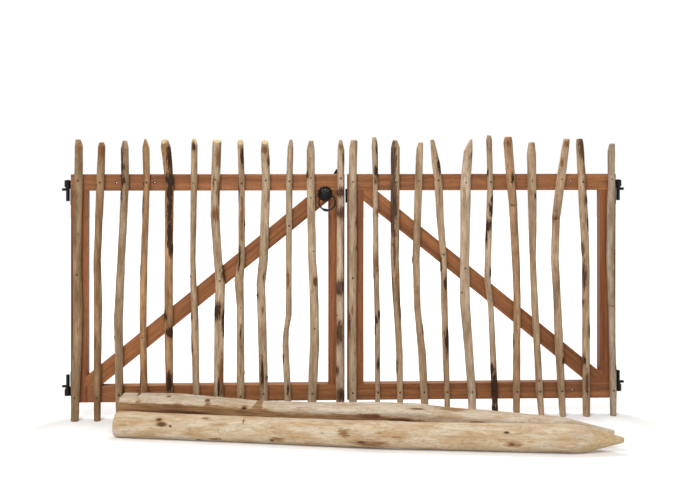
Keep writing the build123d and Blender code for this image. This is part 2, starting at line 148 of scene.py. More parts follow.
class BarkTone(Enum):
    """Bark that the drawknife left, fresh and damp or dry and dusty: its darkest and its lightest colour."""

    DARK = ("#160D09", "#4A3324")
    DUSTY = ("#2C1D15", "#69503F")


class Column(IntEnum):
    """What is measured at a station of a timber: its place along it, its centre line and its half outline."""

    PLACE = 0
    ACROSS = 1
    FORWARD = 2
    HALF_WIDTH = 3
    HALF_DEPTH = 4


def linear(code: str) -> tuple[float, float, float, float]:
    """Turn an sRGB hex colour into the linear colour that the shaders take.

    Args:
        code: The colour as "#RRGGBB".

    Returns:
        Linear red, green and blue, and an alpha of 1.
    """
    channels = [int(code[i:i + 2], 16) / 255 for i in (1, 3, 5)]
    curve = [c / 12.92 if c <= 0.04045 else ((c + 0.055) / 1.055) ** 2.4 for c in channels]
    return curve[0], curve[1], curve[2], 1.0


def add_node(tree: bpy.types.NodeTree, kind: str, settings: dict | None = None,
             inputs: dict | None = None) -> bpy.types.Node:
    """Add a shader node with its settings, values and links.

    Args:
        tree: The node tree that gets the node.
        kind: Blender's name of the node type.
        settings: Properties of the node by name.
        inputs: Input sockets by name or place, each with a value or the socket that feeds it.

    Returns:
        The new node.
    """
    node = tree.nodes.new(kind)
    for key, value in (settings or {}).items():
        setattr(node, key, value)
    for key, value in (inputs or {}).items():
        if isinstance(value, bpy.types.NodeSocket):
            tree.links.new(value, node.inputs[key])
        else:
            node.inputs[key].default_value = value
    return node


def new_material(name: str) -> tuple[bpy.types.Material, bpy.types.NodeTree]:
    """Start an empty node material.

    Args:
        name: The material's name.

    Returns:
        The material and its node tree.
    """
    material = bpy.data.materials.new(name)
    material.use_nodes = True
    material.node_tree.nodes.clear()
    return material, material.node_tree


def fibre_space(tree: bpy.types.NodeTree, turn: tuple[float, float, float], length: float, width: float,
                shift: float = 0.0) -> bpy.types.NodeSocket:
    """Object coordinates measured in fibres: one unit is length along the fibres and width across them.

    Args:
        tree: The material's node tree.
        turn: Euler turn that brings +X onto the direction of the fibres, in radians.
        length: Length of one unit of pattern along the fibres.
        width: Length of one unit of pattern across the fibres.
        shift: Moves the pattern, so that two boards differ.

    Returns:
        The socket with the coordinates.
    """
    place = add_node(tree, "ShaderNodeTexCoord")
    mapping = add_node(tree, "ShaderNodeMapping", {"vector_type": "TEXTURE"}, {
        "Vector": place.outputs["Object"], "Location": (shift, shift, shift), "Rotation": turn,
        "Scale": (length * MM, width * MM, width * MM)})
    return mapping.outputs["Vector"]


# How raggedly each mark ends, and the strengths at which it starts to show and is whole
MARK_EDGES = {
    Mark.FRESH: (0.5, 0.45, 0.6), Mark.BAST: (1.5, 0.36, 0.72), Mark.KNOT: (0.35, 0.35, 0.7),
    Mark.BARK: (1.3, 0.45, 0.6),
}


@dataclass(frozen=True)
class PeeledChestnut:
    """Sweet chestnut, debarked by hand and air dried.

    The eye sees a dry, matt, greyish tan surface with fine lengthwise streaks, patches of brown inner bark,
    a few strips of dark outer bark, small ringed knots, and paler wood where the ends were cut.
    """

    name: str
    tone: tuple[str, str]
    turn: tuple[float, float, float]
    # Length and width of each pattern: fine streaks, clouds of colour, stains left by the knife, flecks,
    # the relief's roughness, the shreds at the edges of marks, and drying checks
    fibre: tuple[float, float] = (75.0, 2.2)
    cloud: tuple[float, float] = (160.0, 26.0)
    stain: tuple[float, float] = (40.0, 10.0)
    fleck: tuple[float, float] = (9.0, 2.4)
    speck: tuple[float, float] = (14.0, 5.0)
    shred: tuple[float, float] = (34.0, 4.5)
    check: tuple[float, float] = (120.0, 1.6)
    # Depth of the relief, and the specks' and the bark's share in it
    bump: float = 0.5
    speck_share: float = 0.35
    bark_share: float = 0.9
    # Inner bark's colours, also used for the front post's patch of painted shadow
    bast: tuple[str, str] = ("#8A633F", "#573621")
    bark: tuple[str, str] = BarkTone.DARK.value
    fresh: tuple[str, str] = ("#C6B088", "#AE956B")
    knot: tuple[str, str] = ("#452B1C", "#7A5738")
    line: str = "#8B6A48"
    line_share: float = 0.16
    # Darkest and lightest of the fine streaks, and how much of the inner bark's stain is left in blotches
    streak: tuple[float, float] = (0.62, 1.1)
    blotch: float = 0.42
    roughness: tuple[float, float] = (0.62, 0.86)
    # Chestnut rings stand about 3 mm apart in pole wood
    ring_width: float = 3.2
    end_colours: tuple[str, str] = ("#B89467", "#8F6C43")
    # Contour lines: how much larger than the clouds their bends are, and how closely they lie
    contour_spread: float = 1.3
    contour_count: float = 75.0

    def build(self) -> bpy.types.Material:
        """Make the material.

        Returns:
            The material.
        """
        material, tree = new_material(self.name)
        fine = add_node(tree, NOISE, inputs={
            "Vector": fibre_space(tree, self.turn, *self.fibre),
            "Scale": 1.0, "Detail": 3.0, "Roughness": 0.6})
        cloud = add_node(tree, NOISE, inputs={
            "Vector": fibre_space(tree, self.turn, *self.cloud),
            "Scale": 1.0, "Detail": 4.0, "Roughness": 0.55})
        speck = add_node(tree, NOISE, inputs={
            "Vector": fibre_space(tree, self.turn, *self.speck),
            "Scale": 1.0, "Detail": 3.0, "Roughness": 0.6})
        sway = add_node(tree, MAP_RANGE, inputs={
            "Value": cloud.outputs[0], "From Min": 0.34, "From Max": 0.66})
        wood = add_node(tree, MIX, MIX_COLOURS, {
            0: sway.outputs[0], MIX_A: linear(self.tone[1]), MIX_B: linear(self.tone[0])})
        streak = add_node(tree, MAP_RANGE, inputs={
            "Value": fine.outputs[0], "From Min": 0.32, "From Max": 0.58, "To Min": self.streak[0],
            "To Max": self.streak[1]})
        colour = add_node(tree, MIX, MULTIPLY_COLOURS, {
            0: 1.0, MIX_A: wood.outputs[MIX_OUT], MIX_B: streak.outputs[0]})
        for (length, width), low, share in ((self.stain, 0.52, self.blotch), (self.fleck, 0.61, 0.5)):
            spots = add_node(tree, NOISE, inputs={
                "Vector": fibre_space(tree, self.turn, length, width, width), "Scale": 1.0, "Detail": 3.0,
                "Roughness": 0.6})
            stain = add_node(tree, MAP_RANGE, inputs={
                "Value": spots.outputs[0], "From Min": low, "From Max": 0.7, "To Max": share})
            colour = add_node(tree, MIX, MIX_COLOURS, {
                0: stain.outputs[0], MIX_A: colour.outputs[MIX_OUT], MIX_B: linear(self.bast[1])})
        crack = add_node(tree, NOISE, inputs={
            "Vector": fibre_space(tree, self.turn, *self.check, 0.37), "Scale": 1.0, "Detail": 1.0})
        cracked = add_node(tree, MAP_RANGE, inputs={
            "Value": crack.outputs[0], "From Min": 0.66, "From Max": 0.72, "To Max": 0.55})
        colour = add_node(tree, MIX, MIX_COLOURS, {
            0: cracked.outputs[0], MIX_A: colour.outputs[MIX_OUT], MIX_B: linear(self.bast[1])})
        colour = self.contours(tree, colour)
        colour = self.end_grain(tree, colour)
        shred = add_node(tree, NOISE, inputs={
            "Vector": fibre_space(tree, self.turn, *self.shred, 0.11), "Scale": 1.0, "Detail": 4.0,
            "Roughness": 0.65})
        masks = {}
        for mark, pair in ((Mark.FRESH, self.fresh), (Mark.BAST, self.bast), (Mark.KNOT, self.knot),
                           (Mark.BARK, self.bark)):
            ragged, low, high = MARK_EDGES[mark]
            strength = add_node(tree, "ShaderNodeAttribute", {"attribute_name": mark.value})
            torn = add_node(tree, MATH, MULTIPLY_ADD, {
                0: shred.outputs[0], 1: ragged, 2: strength.outputs["Fac"]})
            mask = add_node(tree, MAP_RANGE, inputs={
                "Value": torn.outputs[0], "From Min": low + ragged / 2, "From Max": high + ragged / 2})
            shade = add_node(tree, MAP_RANGE, inputs={
                "Value": fine.outputs[0], "From Min": 0.38, "From Max": 0.62})
            paint = add_node(tree, MIX, MIX_COLOURS, {
                0: shade.outputs[0], MIX_A: linear(pair[0]), MIX_B: linear(pair[1])})
            colour = add_node(tree, MIX, MIX_COLOURS, {
                0: mask.outputs[0], MIX_A: colour.outputs[MIX_OUT], MIX_B: paint.outputs[MIX_OUT]})
            masks[mark] = mask
        height = add_node(tree, MATH, MULTIPLY_ADD, {
            0: speck.outputs[0], 1: self.speck_share, 2: fine.outputs[0]})
        height = add_node(tree, MATH, MULTIPLY_ADD, {
            0: masks[Mark.BARK].outputs[0], 1: self.bark_share, 2: height.outputs[0]})
        relief = add_node(tree, "ShaderNodeBump", inputs={
            "Strength": 0.8, "Distance": self.bump * MM, "Height": height.outputs[0]})
        dry = add_node(tree, MAP_RANGE, inputs={
            "Value": fine.outputs[0], "To Min": self.roughness[0], "To Max": self.roughness[1]})
        shader = add_node(tree, "ShaderNodeBsdfPrincipled", inputs={
            "Base Color": colour.outputs[MIX_OUT], "Roughness": dry.outputs[0], "IOR": 1.45,
            "Specular IOR Level": 0.14, "Normal": relief.outputs["Normal"]})
        add_node(tree, "ShaderNodeOutputMaterial", inputs={"Surface": shader.outputs[0]})
        return material

    def contours(self, tree: bpy.types.NodeTree, colour: bpy.types.Node) -> bpy.types.Node:
        """Draw the thin winding lines where the knife cut through the year rings.

        Args:
            tree: The material's node tree.
            colour: The Mix node with the colour so far.

        Returns:
            The Mix node with the lines drawn in.
        """
        length, width = (size * self.contour_spread for size in self.cloud)
        level = add_node(tree, NOISE, inputs={
            "Vector": fibre_space(tree, self.turn, length, width, 0.23),
            "Scale": 1.0, "Detail": 1.5, "Distortion": 0.6})
        turns = add_node(tree, MATH, {"operation": "MULTIPLY"}, {
            0: level.outputs[0], 1: self.contour_count})
        wave = add_node(tree, MATH, {"operation": "SINE"}, {0: turns.outputs[0]})
        thin = add_node(tree, MAP_RANGE, inputs={
            "Value": wave.outputs[0], "From Min": 0.5, "From Max": 1.0, "To Max": self.line_share})
        return add_node(tree, MIX, MIX_COLOURS, {
            0: thin.outputs[0], MIX_A: colour.outputs[MIX_OUT], MIX_B: linear(self.line)})

    def end_grain(self, tree: bpy.types.NodeTree, colour: bpy.types.Node) -> bpy.types.Node:
        """Lay year rings over the sawn ends.

        Args:
            tree: The material's node tree.
            colour: The Mix node with the colour so far.

        Returns:
            The Mix node with the ends drawn in.
        """
        radius = add_node(tree, "ShaderNodeAttribute", {"attribute_name": "radius_mm"})
        end = add_node(tree, "ShaderNodeAttribute", {"attribute_name": "end"})
        turns = add_node(tree, MATH, {"operation": "MULTIPLY"}, {
            0: radius.outputs["Fac"], 1: 2 * math.pi / self.ring_width})
        wave = add_node(tree, MATH, {"operation": "SINE"}, {0: turns.outputs[0]})
        ring = add_node(tree, MAP_RANGE, inputs={"Value": wave.outputs[0], "From Min": -0.6})
        wood = add_node(tree, MIX, MIX_COLOURS, {
            0: ring.outputs[0], MIX_A: linear(self.end_colours[0]), MIX_B: linear(self.end_colours[1])})
        return add_node(tree, MIX, MIX_COLOURS, {
            0: end.outputs["Fac"], MIX_A: colour.outputs[MIX_OUT], MIX_B: wood.outputs[MIX_OUT]})


@dataclass(frozen=True)
class PlanedHardwood:
    """Reddish tropical hardwood, planed four sides and left bare.

    The eye sees an even red-brown board with long soft darker bands, short dark pore lines along the grain
    and a faint sheen where the plane burnished it.
    """

    name: str
    turn: tuple[float, float, float]
    shift: float
    light: str = "#AF7450"
    dark: str = "#87512F"
    pore: str = "#4C2818"
    # Length and width of each pattern: the soft bands, the board's change of colour and the grain's threads
    band: tuple[float, float] = (620.0, 17.0)
    broad: tuple[float, float] = (420.0, 140.0)
    thread: tuple[float, float] = (90.0, 2.4)
    # Pores are 0.2 mm wide and up to 3 mm long; drawn five to seven times as large so that they show
    pore_size: tuple[float, float] = (22.0, 1.1)
    roughness: tuple[float, float] = (0.42, 0.62)
    bump: float = 0.25

    def build(self) -> bpy.types.Material:
        """Make the material.

        Returns:
            The material.
        """
        material, tree = new_material(self.name)
        band = add_node(tree, NOISE, inputs={
            "Vector": fibre_space(tree, self.turn, *self.band, self.shift),
            "Scale": 1.0, "Detail": 4.0, "Roughness": 0.55, "Distortion": 0.4})
        broad = add_node(tree, NOISE, inputs={
            "Vector": fibre_space(tree, self.turn, *self.broad, self.shift * 2), "Scale": 1.0, "Detail": 2.0})
        thread = add_node(tree, NOISE, inputs={
            "Vector": fibre_space(tree, self.turn, *self.thread, self.shift), "Scale": 1.0, "Detail": 3.0})
        pores = add_node(tree, NOISE, inputs={
            "Vector": fibre_space(tree, self.turn, *self.pore_size, self.shift),
            "Scale": 1.0, "Detail": 1.0})
        factor = add_node(tree, MAP_RANGE, inputs={
            "Value": band.outputs[0], "From Min": 0.34, "From Max": 0.62})
        wood = add_node(tree, MIX, MIX_COLOURS, {
            0: factor.outputs[0], MIX_A: linear(self.dark), MIX_B: linear(self.light)})
        tint = add_node(tree, MAP_RANGE, inputs={
            "Value": broad.outputs[0], "From Min": 0.35, "From Max": 0.65, "To Min": 0.86, "To Max": 1.1})
        wood = add_node(tree, MIX, MULTIPLY_COLOURS, {
            0: 1.0, MIX_A: wood.outputs[MIX_OUT], MIX_B: tint.outputs[0]})
        line = add_node(tree, MAP_RANGE, inputs={
            "Value": thread.outputs[0], "From Min": 0.35, "From Max": 0.62, "To Min": 0.72, "To Max": 1.08})
        wood = add_node(tree, MIX, MULTIPLY_COLOURS, {
            0: 1.0, MIX_A: wood.outputs[MIX_OUT], MIX_B: line.outputs[0]})
        open_pore = add_node(tree, MAP_RANGE, inputs={
            "Value": pores.outputs[0], "From Min": 0.6, "From Max": 0.68, "To Max": 0.6})
        colour = add_node(tree, MIX, MIX_COLOURS, {
            0: open_pore.outputs[0], MIX_A: wood.outputs[MIX_OUT], MIX_B: linear(self.pore)})
        height = add_node(tree, MATH, MULTIPLY_ADD, {
            0: open_pore.outputs[0], 1: -1.0, 2: thread.outputs[0]})
        relief = add_node(tree, "ShaderNodeBump", inputs={
            "Strength": 0.5, "Distance": self.bump * MM, "Height": height.outputs[0]})
        sheen = add_node(tree, MAP_RANGE, inputs={
            "Value": thread.outputs[0], "To Min": self.roughness[0], "To Max": self.roughness[1]})
        shader = add_node(tree, "ShaderNodeBsdfPrincipled", inputs={
            "Base Color": colour.outputs[MIX_OUT], "Roughness": sheen.outputs[0], "IOR": 1.5,
            "Specular IOR Level": 0.18, "Normal": relief.outputs["Normal"]})
        add_node(tree, "ShaderNodeOutputMaterial", inputs={"Surface": shader.outputs[0]})
        return material


@dataclass(frozen=True)
class CoatedSteel:
    """Forged mild steel with a black powder coat.

    The eye sees a near-black satin skin with a fine orange-peel ripple, and greyer rubbed places.
    """

    name: str
    base: str = "#030304"
    rubbed: str = "#0A0B0E"
    roughness: tuple[float, float] = (0.26, 0.48)
    # The coat's ripple is about 1.5 mm from crest to crest, and rubbed places lie about 9 mm apart
    ripple: float = 1.5
    rub_size: float = 9.0
    bump: float = 0.12

    def build(self) -> bpy.types.Material:
        """Make the material.

        Returns:
            The material.
        """
        material, tree = new_material(self.name)
        still = (0.0, 0.0, 0.0)
        peel = add_node(tree, NOISE, inputs={
            "Vector": fibre_space(tree, still, self.ripple, self.ripple), "Scale": 1.0, "Detail": 2.0})
        rub = add_node(tree, NOISE, inputs={
            "Vector": fibre_space(tree, still, self.rub_size, self.rub_size), "Scale": 1.0, "Detail": 5.0,
            "Roughness": 0.65})
        worn = add_node(tree, MAP_RANGE, inputs={
            "Value": rub.outputs[0], "From Min": 0.48, "From Max": 0.72})
        colour = add_node(tree, MIX, MIX_COLOURS, {
            0: worn.outputs[0], MIX_A: linear(self.base), MIX_B: linear(self.rubbed)})
        gloss = add_node(tree, MAP_RANGE, inputs={
            "Value": rub.outputs[0], "From Min": 0.3, "From Max": 0.7, "To Min": self.roughness[0],
            "To Max": self.roughness[1]})
        relief = add_node(tree, "ShaderNodeBump", inputs={
            "Strength": 0.35, "Distance": self.bump * MM, "Height": peel.outputs[0]})
        shader = add_node(tree, "ShaderNodeBsdfPrincipled", inputs={
            "Base Color": colour.outputs[MIX_OUT], "Roughness": gloss.outputs[0], "IOR": 1.5,
            "Specular IOR Level": 0.22, "Normal": relief.outputs["Normal"]})
        add_node(tree, "ShaderNodeOutputMaterial", inputs={"Surface": shader.outputs[0]})
        return material


@dataclass(frozen=True)
class ZincPlate:
    """Electroplated zinc on a screw.

    The eye sees a light grey metal, slightly hazy, with blotches of duller passivation 3 mm across.
    """

    name: str
    base: str = "#C9CDD0"
    dull: str = "#9EA2A5"
    blotch: float = 3.0

    def build(self) -> bpy.types.Material:
        """Make the material.

        Returns:
            The material.
        """
        material, tree = new_material(self.name)
        haze = add_node(tree, NOISE, inputs={
            "Vector": fibre_space(tree, (0.0, 0.0, 0.0), self.blotch, self.blotch),
            "Scale": 1.0, "Detail": 3.0})
        colour = add_node(tree, MIX, MIX_COLOURS, {
            0: haze.outputs[0], MIX_A: linear(self.base), MIX_B: linear(self.dull)})
        gloss = add_node(tree, MAP_RANGE, inputs={
            "Value": haze.outputs[0], "To Min": 0.22, "To Max": 0.45})
        shader = add_node(tree, "ShaderNodeBsdfPrincipled", inputs={
            "Base Color": colour.outputs[MIX_OUT], "Metallic": 1.0, "Roughness": gloss.outputs[0]})
        add_node(tree, "ShaderNodeOutputMaterial", inputs={"Surface": shader.outputs[0]})
        return material


@dataclass(frozen=True)
class PaperSweep:
    """The plain pale floor: matt white paper, seen white where no shadow falls on it."""

    name: str = "white_paper_floor"
    colour: str = "#F4F3F1"
    # Glow under the gate and far from it
    near_lift: float = 0.1
    far_lift: float = 0.8
    # Where it turns from one to the other, in metres from the middle
    near: float = 1.6
    far: float = 4.0
    middle: tuple[float, float, float] = (1.2, -0.3, 0.0)

    def build(self) -> bpy.types.Material:
        """Make the material.

        Returns:
            The material.
        """
        material, tree = new_material(self.name)
        ray = add_node(tree, "ShaderNodeLightPath")
        seen = add_node(tree, MATH, {"operation": "MAXIMUM"}, {
            0: ray.outputs["Is Camera Ray"], 1: ray.outputs["Is Glossy Ray"]})
        place = add_node(tree, "ShaderNodeTexCoord")
        off = add_node(tree, "ShaderNodeVectorMath", {"operation": "DISTANCE"}, {
            0: place.outputs["Object"], 1: self.middle})
        lift = add_node(tree, MAP_RANGE, inputs={
            "Value": off.outputs["Value"], "From Min": self.near, "From Max": self.far,
            "To Min": self.near_lift, "To Max": self.far_lift})
        glow = add_node(tree, MATH, {"operation": "MULTIPLY"}, {
            0: seen.outputs[0], 1: lift.outputs[0]})
        shader = add_node(tree, "ShaderNodeBsdfPrincipled", inputs={
            "Base Color": linear(self.colour), "Roughness": 0.9, "Specular IOR Level": 0.0,
            "Emission Color": WHITE, "Emission Strength": glow.outputs[0]})
        add_node(tree, "ShaderNodeOutputMaterial", inputs={"Surface": shader.outputs[0]})
        return material


def piece_from(mesh: bmesh.types.BMesh, name: str, material: bpy.types.Material,
               smooth: bool = True) -> bpy.types.Object:
    """Turn a bmesh into a dressed object at the origin.

    Args:
        mesh: The finished shape, in metres; it is freed.
        name: The piece's name.
        material: Its finish.
        smooth: Whether its faces are shaded smoothly.

    Returns:
        The linked object.
    """
    data = bpy.data.meshes.new(name)
    mesh.to_mesh(data)
    mesh.free()
    data.materials.append(material)
    data.polygons.foreach_set("use_smooth", [smooth] * len(data.polygons))
    piece = bpy.data.objects.new(name, data)
    bpy.context.scene.collection.objects.link(piece)
    return piece


def hand_over(piece: bpy.types.Object, body: Body, node: str | None = None) -> None:
    """Args:
        piece: The piece.
        body: The body that it rides on.
        node: The frame node that it stands for, or None.
    """
    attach(piece, body.value)
    if node is not None:
        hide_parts(node)


def merged_copy(node: bpy.types.Object) -> bmesh.types.BMesh:
    """Copy a frame node's mesh and merge its doubled corners.

    Args:
        node: The frame node.

    Returns:
        The copy.
    """
    mesh = bmesh.new()
    mesh.from_mesh(node.data)
    bmesh.ops.remove_doubles(mesh, verts=mesh.verts, dist=MERGE * MM)
    return mesh


def evenly_meshed(node: bpy.types.Object, name: str, voxel: float) -> bpy.types.Mesh:
    """Remesh a copy of a frame node into small even faces.

    Args:
        node: The frame node.
        name: The new mesh's name.
        voxel: Size of a face.

    Returns:
        The new mesh.
    """
    mesh = merged_copy(node)
    data = bpy.data.meshes.new(f"{name}_block")
    mesh.to_mesh(data)
    mesh.free()
    block = bpy.data.objects.new(data.name, data)
    bpy.context.scene.collection.objects.link(block)
    remesh = block.modifiers.new("even", "REMESH")
    remesh.mode = "VOXEL"
    remesh.voxel_size = voxel * MM
    return modified(block, name)


def modified(block: bpy.types.Object, name: str) -> bpy.types.Mesh:
    """Apply a helper object's modifiers and remove it.

    Args:
        block: The helper, which is linked to the scene.
        name: The new mesh's name.

    Returns:
        The mesh that its modifiers make.
    """
    graph = bpy.context.evaluated_depsgraph_get()
    result = bpy.data.meshes.new_from_object(block.evaluated_get(graph))
    source = block.data
    bpy.data.objects.remove(block)
    bpy.data.meshes.remove(source)
    result.name = name
    return result


# How far a mark that reaches the edge goes on round it, in radians
BEHIND_EDGE = 0.5
# Corners of a frame timber are sorted into rings by their distance along it, in steps of RING_SPACING; a ring
# has at least this many
RING_CORNERS = 8
RING_SPACING = 0.5
# A ray at a timber's front starts this far from its centre line, in metres
RAY_START = 0.2
# The hewn point's share of the bumps, and the length over which they fade out before it
POINT_BUMPS = 0.1
POINT_FADE = 60.0
# Height that marks add: the mark, the strength from which it rises, over how much, and the height for 1
MARK_RELIEF = ((Mark.BARK, 0.45, 0.2, 6.0), (Mark.KNOT, 0.2, 0.5, 5.0), (Mark.KNOT, 0.7, 0.3, -10.0))
# The wood is pressed in round a screw, on the front only, which ends at FRONT_TURN radians
DIMPLE_DEPTH = 1.4
DIMPLE_RADIUS = 5.0
FRONT_TURN = 1.4
# Length and width of the small bumps, and their height as a share of the broad ones'
SMALL_BUMPS = (34.0, 11.0)
SMALL_HEIGHT = 0.35
# Inner bark shows round a strip of bark, by this length and this share of the half width
HALO_LENGTH = 9.0
HALO_SHARE = 0.12
# Least half length and half width of a mark, and the least radius that it is laid out on
LEAST_REACH = 2.5
LEAST_SPREAD = 2.2
LEAST_RADIUS = 4.0
# Distance over which a stain turns from none to full
STAIN_EDGE = 20.0


@dataclass(frozen=True)
class Patch:
    """A mark on a timber, between two places along it and two places across its front.

    A place across is a share of the half width, from -1 at the left edge to 1 at the right one; on a lying
    post it runs from -1 underneath to 1 on top. Past 1 it goes on round the back.
    """

    mark: Mark
    low: float
    high: float
    left: float
    right: float

    @staticmethod
    def angle(share: float) -> float:
        """Turn of a place across the front.

        Args:
            share: The place, as above.

        Returns:
            Radians from the middle of the front; from 1 on it lies BEHIND_EDGE or more round the back.
        """
        if abs(share) >= 1:
            return math.copysign(math.pi / 2 + (abs(share) - 1) * math.pi / 2 + BEHIND_EDGE, share)
        return math.asin(share)


@dataclass
class Timber:
    """One peeled stick or post, worked up from its frame node.

    Args:
        node: Name of the frame node.
        axis: Direction from foot to tip.
        facing: Direction towards the viewer, square to the axis.
        sideways: Direction to the right of a pale, or to the top of a lying post.
        voxel: Size of its faces.
        wobble: Height of the uneven places left by the drawknife.
        wobble_length: Their usual length; they are a third as wide.
        stain: Places along and across; below the line through them the inner bark is left on.
        point: Length of the hewn point, which is flat and clean.
        stations: Its measured rings, a row each, as Column says; all in metres.
        start: Place of its foot along the axis, in metres.
        end: Place of its tip along the axis, in metres.
        mesh: The worked mesh.
    """

    node: str
    axis: Vector
    facing: Vector
    sideways: Vector
    voxel: float
    wobble: float
    wobble_length: float
    stain: tuple[tuple[float, float], ...] = ()
    point: float = 0.0
    stations: list[tuple[float, ...]] = field(default_factory=list)
    start: float = 0.0
    end: float = 0.0
    mesh: bpy.types.Mesh | None = None

    def measure(self, source: bpy.types.Object) -> None:
        """Read the centre line and the half outline from the rings of the frame node.

        Args:
            source: The frame node.
        """
        rough = merged_copy(source)
        along = {}
        for vert in rough.verts:
            along.setdefault(round(vert.co.dot(self.axis) / (RING_SPACING * MM)), []).append(vert.co.copy())
        rough.free()
        self.start = min(along) * RING_SPACING * MM
        self.end = max(along) * RING_SPACING * MM
        for key in sorted(along):
            ring = along[key]
            if len(ring) < RING_CORNERS:
                continue
            across = [p.dot(self.sideways) for p in ring]
            forward = [p.dot(self.facing) for p in ring]
            self.stations.append((key * RING_SPACING * MM, (min(across) + max(across)) / 2,
                                  (min(forward) + max(forward)) / 2, (max(across) - min(across)) / 2,
                                  (max(forward) - min(forward)) / 2))

    def coordinates(self, points: np.ndarray) -> tuple[np.ndarray, np.ndarray, np.ndarray]:
        """Distance along, turn round from the front and distance from the centre line of each point.

        Args:
            points: Points in the gate's frame, one a row.

        Returns:
            Three arrays: metres from the foot, radians and metres.
        """
        table = np.array(self.stations)
        distance = points @ np.array(self.axis)
        centre_across = np.interp(distance, table[:, Column.PLACE], table[:, Column.ACROSS])
        centre_forward = np.interp(distance, table[:, Column.PLACE], table[:, Column.FORWARD])
        across = points @ np.array(self.sideways) - centre_across
        forward = points @ np.array(self.facing) - centre_forward
        return distance - self.start, np.arctan2(across, forward), np.hypot(across, forward)

    def surface_point(self, distance: float, share: float = 0.0) -> Vector:
        """A point in front of the timber, over a place across its front.

        Args:
            distance: Millimetres from the foot.
            share: Place across, as in Patch.

        Returns:
            A point on a line that meets the front there, well clear of the timber.
        """
        table = np.array(self.stations)
        at = self.start + distance * MM
        centre, ahead, half = (float(np.interp(at, table[:, Column.PLACE], table[:, column]))
                               for column in (Column.ACROSS, Column.FORWARD, Column.HALF_WIDTH))
        return self.axis * at + self.sideways * (centre + share * half) + self.facing * (ahead + RAY_START)

    def work(self, source: bpy.types.Object, patches: tuple[Patch, ...], floor: float,
             dimples: tuple[tuple[float, float], ...] = (), chops: tuple[tuple[float, float], ...] = (),
             fresh_tip: bool = False, back: float | None = None) -> None:
        """Shape the timber and paint its marks.

        Args:
            source: The frame node.
            patches: Its marks.
            floor: Level that nothing of it may pass, in metres.
            dimples: Screw places, as distance from the foot and share across.
            chops: Cuts at the tip, each as its drop and its turn from the front in degrees.
            fresh_tip: Whether those cuts are new and pale.
            back: Furthest back that it may reach, in metres, or None.
        """
        self.measure(source)
        self.mesh = evenly_meshed(source, f"{self.node}_timber", self.voxel)
        count = len(self.mesh.vertices)
        points = np.empty(count * 3, np.float64)
        normals = np.empty(count * 3, np.float64)
        self.mesh.vertices.foreach_get("co", points)
        self.mesh.vertices.foreach_get("normal", normals)
        points, normals = points.reshape(-1, 3), normals.reshape(-1, 3)
        distance, turn, radius = self.coordinates(points)
        values = self.painted(distance, turn, radius, patches)
        lift = self.unevenness(distance, turn, radius)
        if self.point:
            to_tip = (self.end - self.start - distance) / MM
            lift *= np.clip((to_tip - self.point) / POINT_FADE, POINT_BUMPS, 1)
        for mark, begin, span, rise in MARK_RELIEF:
            lift += np.clip(values[mark] - begin, 0, span) * rise * MM
        for place, share in dimples:
            gap = np.hypot(distance - place * MM, (turn - Patch.angle(share)) * radius)
            dent = DIMPLE_DEPTH * MM * np.exp(-(gap / (DIMPLE_RADIUS * MM)) ** 2)
            lift -= dent * (np.abs(turn) < FRONT_TURN)
        points += normals * lift[:, None]
        points, cut = self.chopped(points, chops)
        if fresh_tip:
            values[Mark.FRESH] = np.maximum(values[Mark.FRESH], cut)
        points[:, 2] = np.maximum(points[:, 2], floor)
        if back is not None:
            points[:, 1] = np.minimum(points[:, 1], back)
        self.mesh.vertices.foreach_set("co", points.ravel())
        facing_end = np.abs(normals @ np.array(self.axis))
        near_end = np.minimum(distance, self.end - self.start - distance) < 1.5 * self.voxel * MM
        values["end"] = np.clip((facing_end - 0.6) * 5, 0, 1) * near_end
        values["radius_mm"] = radius / MM
        for name, data in values.items():
            key = name.value if isinstance(name, Mark) else name
            layer = self.mesh.attributes.new(key, "FLOAT", "POINT")
            layer.data.foreach_set("value", data.astype(np.float32))
        self.mesh.update()

    def unevenness(self, distance: np.ndarray, turn: np.ndarray, radius: np.ndarray) -> np.ndarray:
        """Bumps and hollows of a hand-peeled surface.

        Args:
            distance: Metres from the foot.
            turn: Radians round from the front.
            radius: Metres from the centre line.

        Returns:
            The height of every point, in metres along the normal.
        """
        seed = Vector((sum(map(ord, self.node)) * 0.37, len(self.node) * 1.7, 3.1))
        width = self.wobble_length / 3
        small_length, small_width = SMALL_BUMPS
        lift = np.empty(len(distance))
        for i, (d, t, r) in enumerate(zip(distance / MM, turn, radius / MM)):
            x, y = r * math.cos(t), r * math.sin(t)
            broad = noise.noise(seed + Vector((x / width, y / width, d / self.wobble_length)))
            small = noise.noise(seed + Vector((x / small_width, y / small_width, d / small_length)))
            lift[i] = broad * self.wobble + small * self.wobble * SMALL_HEIGHT
        return lift * MM

